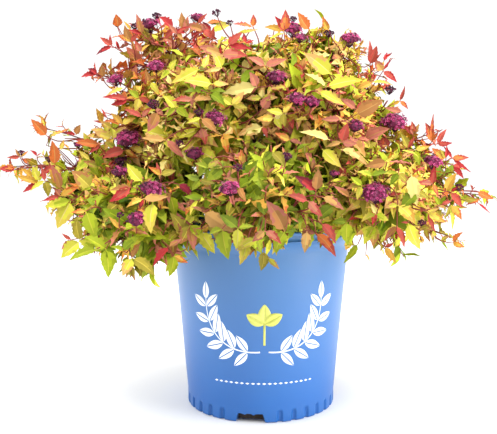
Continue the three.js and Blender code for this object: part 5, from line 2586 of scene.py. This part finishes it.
    def grow_sprays(self) -> None:
        """Grows the sprays that the viewer sees: each leaf runs from the spray's foot to its own tip, turned
        to the viewer and the light, and a twig runs from the nearest branch to the foot."""
        for spray in SEEN_SPRAYS:
            eye, way = self.viewpoint.ray(spray.x, spray.y)
            place, normal, home, is_met = self.skin.met_by(eye, way)
            foot = place - way * (self.spray_lift if is_met else 0.0)
            away = float(np.linalg.norm(foot - eye))
            ends = []
            for tip in spray.tips:
                _, toward = self.viewpoint.ray(tip.x, tip.y)
                seen_length = float(np.linalg.norm(eye + toward * away - foot))
                ends.append(eye + toward * (away - self.draw.uniform(*self.spray_depth) * seen_length))
            reach = np.array(ends) - foot
            axis = unit(reach)
            count = len(ends)
            face = square_to(axis, -0.85 * way + 0.6 * UP + self.draw.normal(0, 0.2, (count, 3)))
            length = np.linalg.norm(reach, axis=1)
            width = length * np.array([self.spray_swell * tip.width for tip in spray.tips])
            body = [tip.tint for tip in spray.tips]
            blush = [tint.blushes[int(self.draw.integers(len(tint.blushes)))] for tint in body]
            colours = HOMES[home][1].colours if home in HOMES else LONES[home].colours
            # A seen spray takes the darkest shade that its palette deals, as painted shade.
            shade = np.full(count, colours.value.shades[0])
            limits = (self.spray_curl, self.spray_fold, self.spray_wave, (0, 2 * math.pi))
            shape = [self.draw.uniform(least, most, count) for least, most in limits]
            dealt = [number_of(names, shade) for names in (body, blush, [tint.rib for tint in body])]
            feet = np.repeat(foot[None], count, axis=0)
            self.sprays.append((Leaves(feet, axis, face, length, width, *shape, *dealt), home))
            heading = unit(axis.mean(axis=0) + 0.5 * normal)
            near = self.nearest(self.branches[home], foot)
            self.twigs.append(self.twig(near, foot, heading, home, colours, None))

    # -- Pieces --

    def allowed(self, leaves: Leaves) -> np.ndarray:
        """Which leaves stay: those clear of the pot's wall, of the flower heads and of the lines of sight to
        heads and sprays, and inside the frame's box.

        Args:
            leaves: the leaves.

        Returns:
            True for each leaf that stays.
        """
        keep = np.ones(len(leaves.root), bool)
        low, high = (np.array(corner) / MM for corner in cad_box)
        eye = np.array(self.viewpoint.place)
        for share in self.tested:
            point = leaves.root + leaves.axis * (share * leaves.length)[:, None]
            distance = np.hypot(point[:, 0], point[:, 1])
            is_low = point[:, 2] < self.pot.height + self.pot_room
            keep &= ~((distance < self.pot.rim_radius + self.pot_room) & is_low)
            keep &= np.all((point > low - self.box_room) & (point < high + self.box_room), axis=1)
            for head in self.heads:
                heart = head.top - head.axis * 0.3 * head.width
                over, before = (radius * head.width + self.head_room for radius in self.head_shafts)
                keep &= ~self.screens(point, heart, head.axis, over, -0.1 * head.width, self.shaft_ends[0])
                keep &= ~self.screens(point, heart, unit(eye - heart), before, 0.0, self.shaft_ends[1])
            keep &= ~self.viewpoint.in_gap(point)
            if share < 1.0:  # a tip may hang over a leaf that the viewer sees
                for spray, _ in self.sprays:
                    for foot, axis, length, width in zip(spray.root, spray.axis, spray.length, spray.width):
                        heart = foot + 0.5 * length * axis
                        room = 0.5 * width + self.spray_room
                        keep &= ~self.screens(point, heart, unit(eye - heart), room, *self.spray_shaft)
        return keep

    @staticmethod
    def screens(
        points: np.ndarray, heart: np.ndarray, way: np.ndarray, room: float, start: float, reach: float
    ) -> np.ndarray:
        """Which points stand in a round shaft.

        Args:
            points: the points.
            heart: a point on the shaft's axis.
            way: the axis's unit direction.
            room: the shaft's radius.
            start: where the shaft starts along its axis from the heart.
            reach: where it ends.

        Returns:
            True for each point inside.
        """
        off = points - heart
        along = off @ way
        aside = np.linalg.norm(off - along[:, None] * way, axis=1)
        return (along > start) & (along < reach) & (aside < room)

    def leaves_of(self, home: str, form: LeafForm, maker: LeafMaker) -> Leaves | None:
        """The leaves of one form at one node: those that the viewer sees as they were placed, or else those
        of its twigs that are allowed.

        Args:
            home: the node.
            form: the leaves' form.
            maker: what sets leaves on twigs.

        Returns:
            The leaves, or None if there are none.
        """
        if form is SHOWN_LEAF:
            batches = [spray for spray, at in self.sprays if at == home]
            return Leaves.joined(batches) if batches else None
        twigs = [t for t in self.twigs if t.home == home and t.habit and t.habit.value.form is form]
        batches = [batch for batch in map(maker.leaves_on, twigs) if batch is not None]
        if not batches:
            return None
        leaves = Leaves.joined(batches)
        return leaves.kept(self.allowed(leaves))

    def build_leaves(self) -> None:
        """Makes one piece of leaves for each mass and each lone shoot, which it stands for."""
        maker = LeafMaker(self.draw)
        forms = (FINE_LEAF, COARSE_LEAF, SHOWN_LEAF)
        total = 0
        for home in [*HOMES, *LONES]:
            grown = [(form, self.leaves_of(home, form, maker)) for form in forms]
            grown = [(form, leaves) for form, leaves in grown if leaves is not None]
            total += sum(len(leaves.root) for _, leaves in grown)
            surface = Surface.joined([form.surface(leaves) for form, leaves in grown])
            used, numbers = np.unique(np.concatenate(surface.looks), return_inverse=True)
            surface.looks = np.split(numbers, np.cumsum([len(look) for look in surface.looks])[:-1])
            slot = HOMES[home][0].slot if home in HOMES else Slot.SHOOTS
            materials = [TINTS[k // len(SHADES)].material(k % len(SHADES)) for k in used]
            settle(surface.object(f"leaves_{home}", materials), slot, home)
        log.info("%d leaves", total)

    def build_twigs(self, prefix: str) -> None:
        """Makes one piece of the twigs whose nodes start with a prefix. A twig tapers evenly.

        Args:
            prefix: a storey's prefix, or the lone shoots'.
        """
        mine = [twig for twig in self.twigs if twig.home.startswith(prefix)]
        lines = np.stack([resampled(self.cut_back(twig.line), self.twig_rings) for twig in mine])
        share = np.linspace(0.0, 1.0, self.twig_rings)
        foot = np.array([twig.foot_radius for twig in mine])[:, None]
        tip = np.array([twig.tip_radius for twig in mine])[:, None]
        looks = np.array([0 if twig.foot_radius > self.old_radius else 1 for twig in mine])
        surface = tubes(lines, lerp(foot, tip, share), self.twig_sides, looks)
        settle(surface.object(f"twigs_{prefix}", [Wood.OLD.material(), Wood.YOUNG.material()]), Slot.BARK)

    def cut_back(self, line: np.ndarray) -> np.ndarray:
        """A twig's line without the end that stands bare in a gap."""
        clear = np.flatnonzero(~self.viewpoint.in_gap(line))
        return line[: max(int(clear[-1]) + 1, 3)] if len(clear) else line[:3]

    def build(self) -> None:
        """Grows the crown and makes all its pieces: twigs and flower heads by storey, leaves by node."""
        self.grow()
        self.limbs.build(self.draw)
        prefixes = [*(tier.prefix for tier in TIERS), "shoot"]
        for prefix in prefixes:
            self.build_twigs(prefix)
        self.build_leaves()
        maker = HeadMaker(self.draw)
        for prefix in prefixes:
            mine = [head for head in self.heads if head.home.startswith(prefix)]
            if mine:
                maker.build(f"flower_heads_{prefix}", mine)


# ---- The studio ----


@dataclass(frozen=True)
class Lamp:
    """A soft square lamp that looks at a point."""

    name: str
    place: Triple
    target: Triple
    size: float
    power: float

    def build(self) -> None:
        """Makes the lamp."""
        data = bpy.data.lights.new(self.name, "AREA")
        data.size = self.size * MM
        data.energy = self.power
        lamp = bpy.data.objects.new(self.name, data)
        lamp.location = Vector(self.place) * MM
        lamp.rotation_euler = (Vector(self.target) - Vector(self.place)).to_track_quat("-Z", "Y").to_euler()
        bpy.context.scene.collection.objects.link(lamp)


@dataclass
class Studio:
    """A plain pale floor under soft light from all sides, a little more from the right and above."""

    floor_half: float = 9000.0
    floor_drop: float = 0.2  # how far the floor lies under the pot, so that the two don't touch
    floor_colour: Rgb = (250, 250, 250)
    surround: float = 1.12
    lamps: tuple[Lamp, ...] = (
        Lamp("top", (180.0, -300.0, 1800.0), (0.0, 0.0, 300.0), 1900.0, 54.0),
        Lamp("right", (1350.0, -650.0, 520.0), (0.0, 0.0, 220.0), 900.0, 13.0),
        Lamp("left", (-1500.0, 0.0, 650.0), (0.0, 0.0, 250.0), 900.0, 12.0),
        Lamp("low_right", (900.0, -560.0, 80.0), (0.0, 0.0, 110.0), 420.0, 3.2),
    )

    def build(self) -> None:
        """Makes the floor, the surround and the lamps."""
        square = np.array([[-1, -1, 0], [1, -1, 0], [1, 1, 0], [-1, 1, 0]], float)
        floor = Surface.plain(square * self.floor_half - self.floor_drop * UP, np.array([[0, 1, 2, 3]]))
        floor.object("floor", [PlainFinish("pale_floor", self.floor_colour, 0.7, 0.2).material()])
        world = bpy.data.worlds.new("surround")
        world.use_nodes = True
        light = world.node_tree.nodes["Background"]
        light.inputs["Color"].default_value = (1.0, 1.0, 1.0, 1.0)
        light.inputs["Strength"].default_value = self.surround
        bpy.context.scene.world = world
        for lamp in self.lamps:
            lamp.build()
        bpy.context.scene.view_settings.view_transform = "Standard"


def main() -> None:
    """Builds the studio, the pot and the shrub."""
    logging.basicConfig(level=logging.INFO, format="%(message)s")
    viewpoint = Viewpoint()
    pot = Pot()
    for part in (viewpoint, Studio(), pot, PotPrint(pot), Soil(pot), Crown(pot, viewpoint)):
        part.build()
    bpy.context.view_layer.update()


if __name__ == "__main__":
    main()
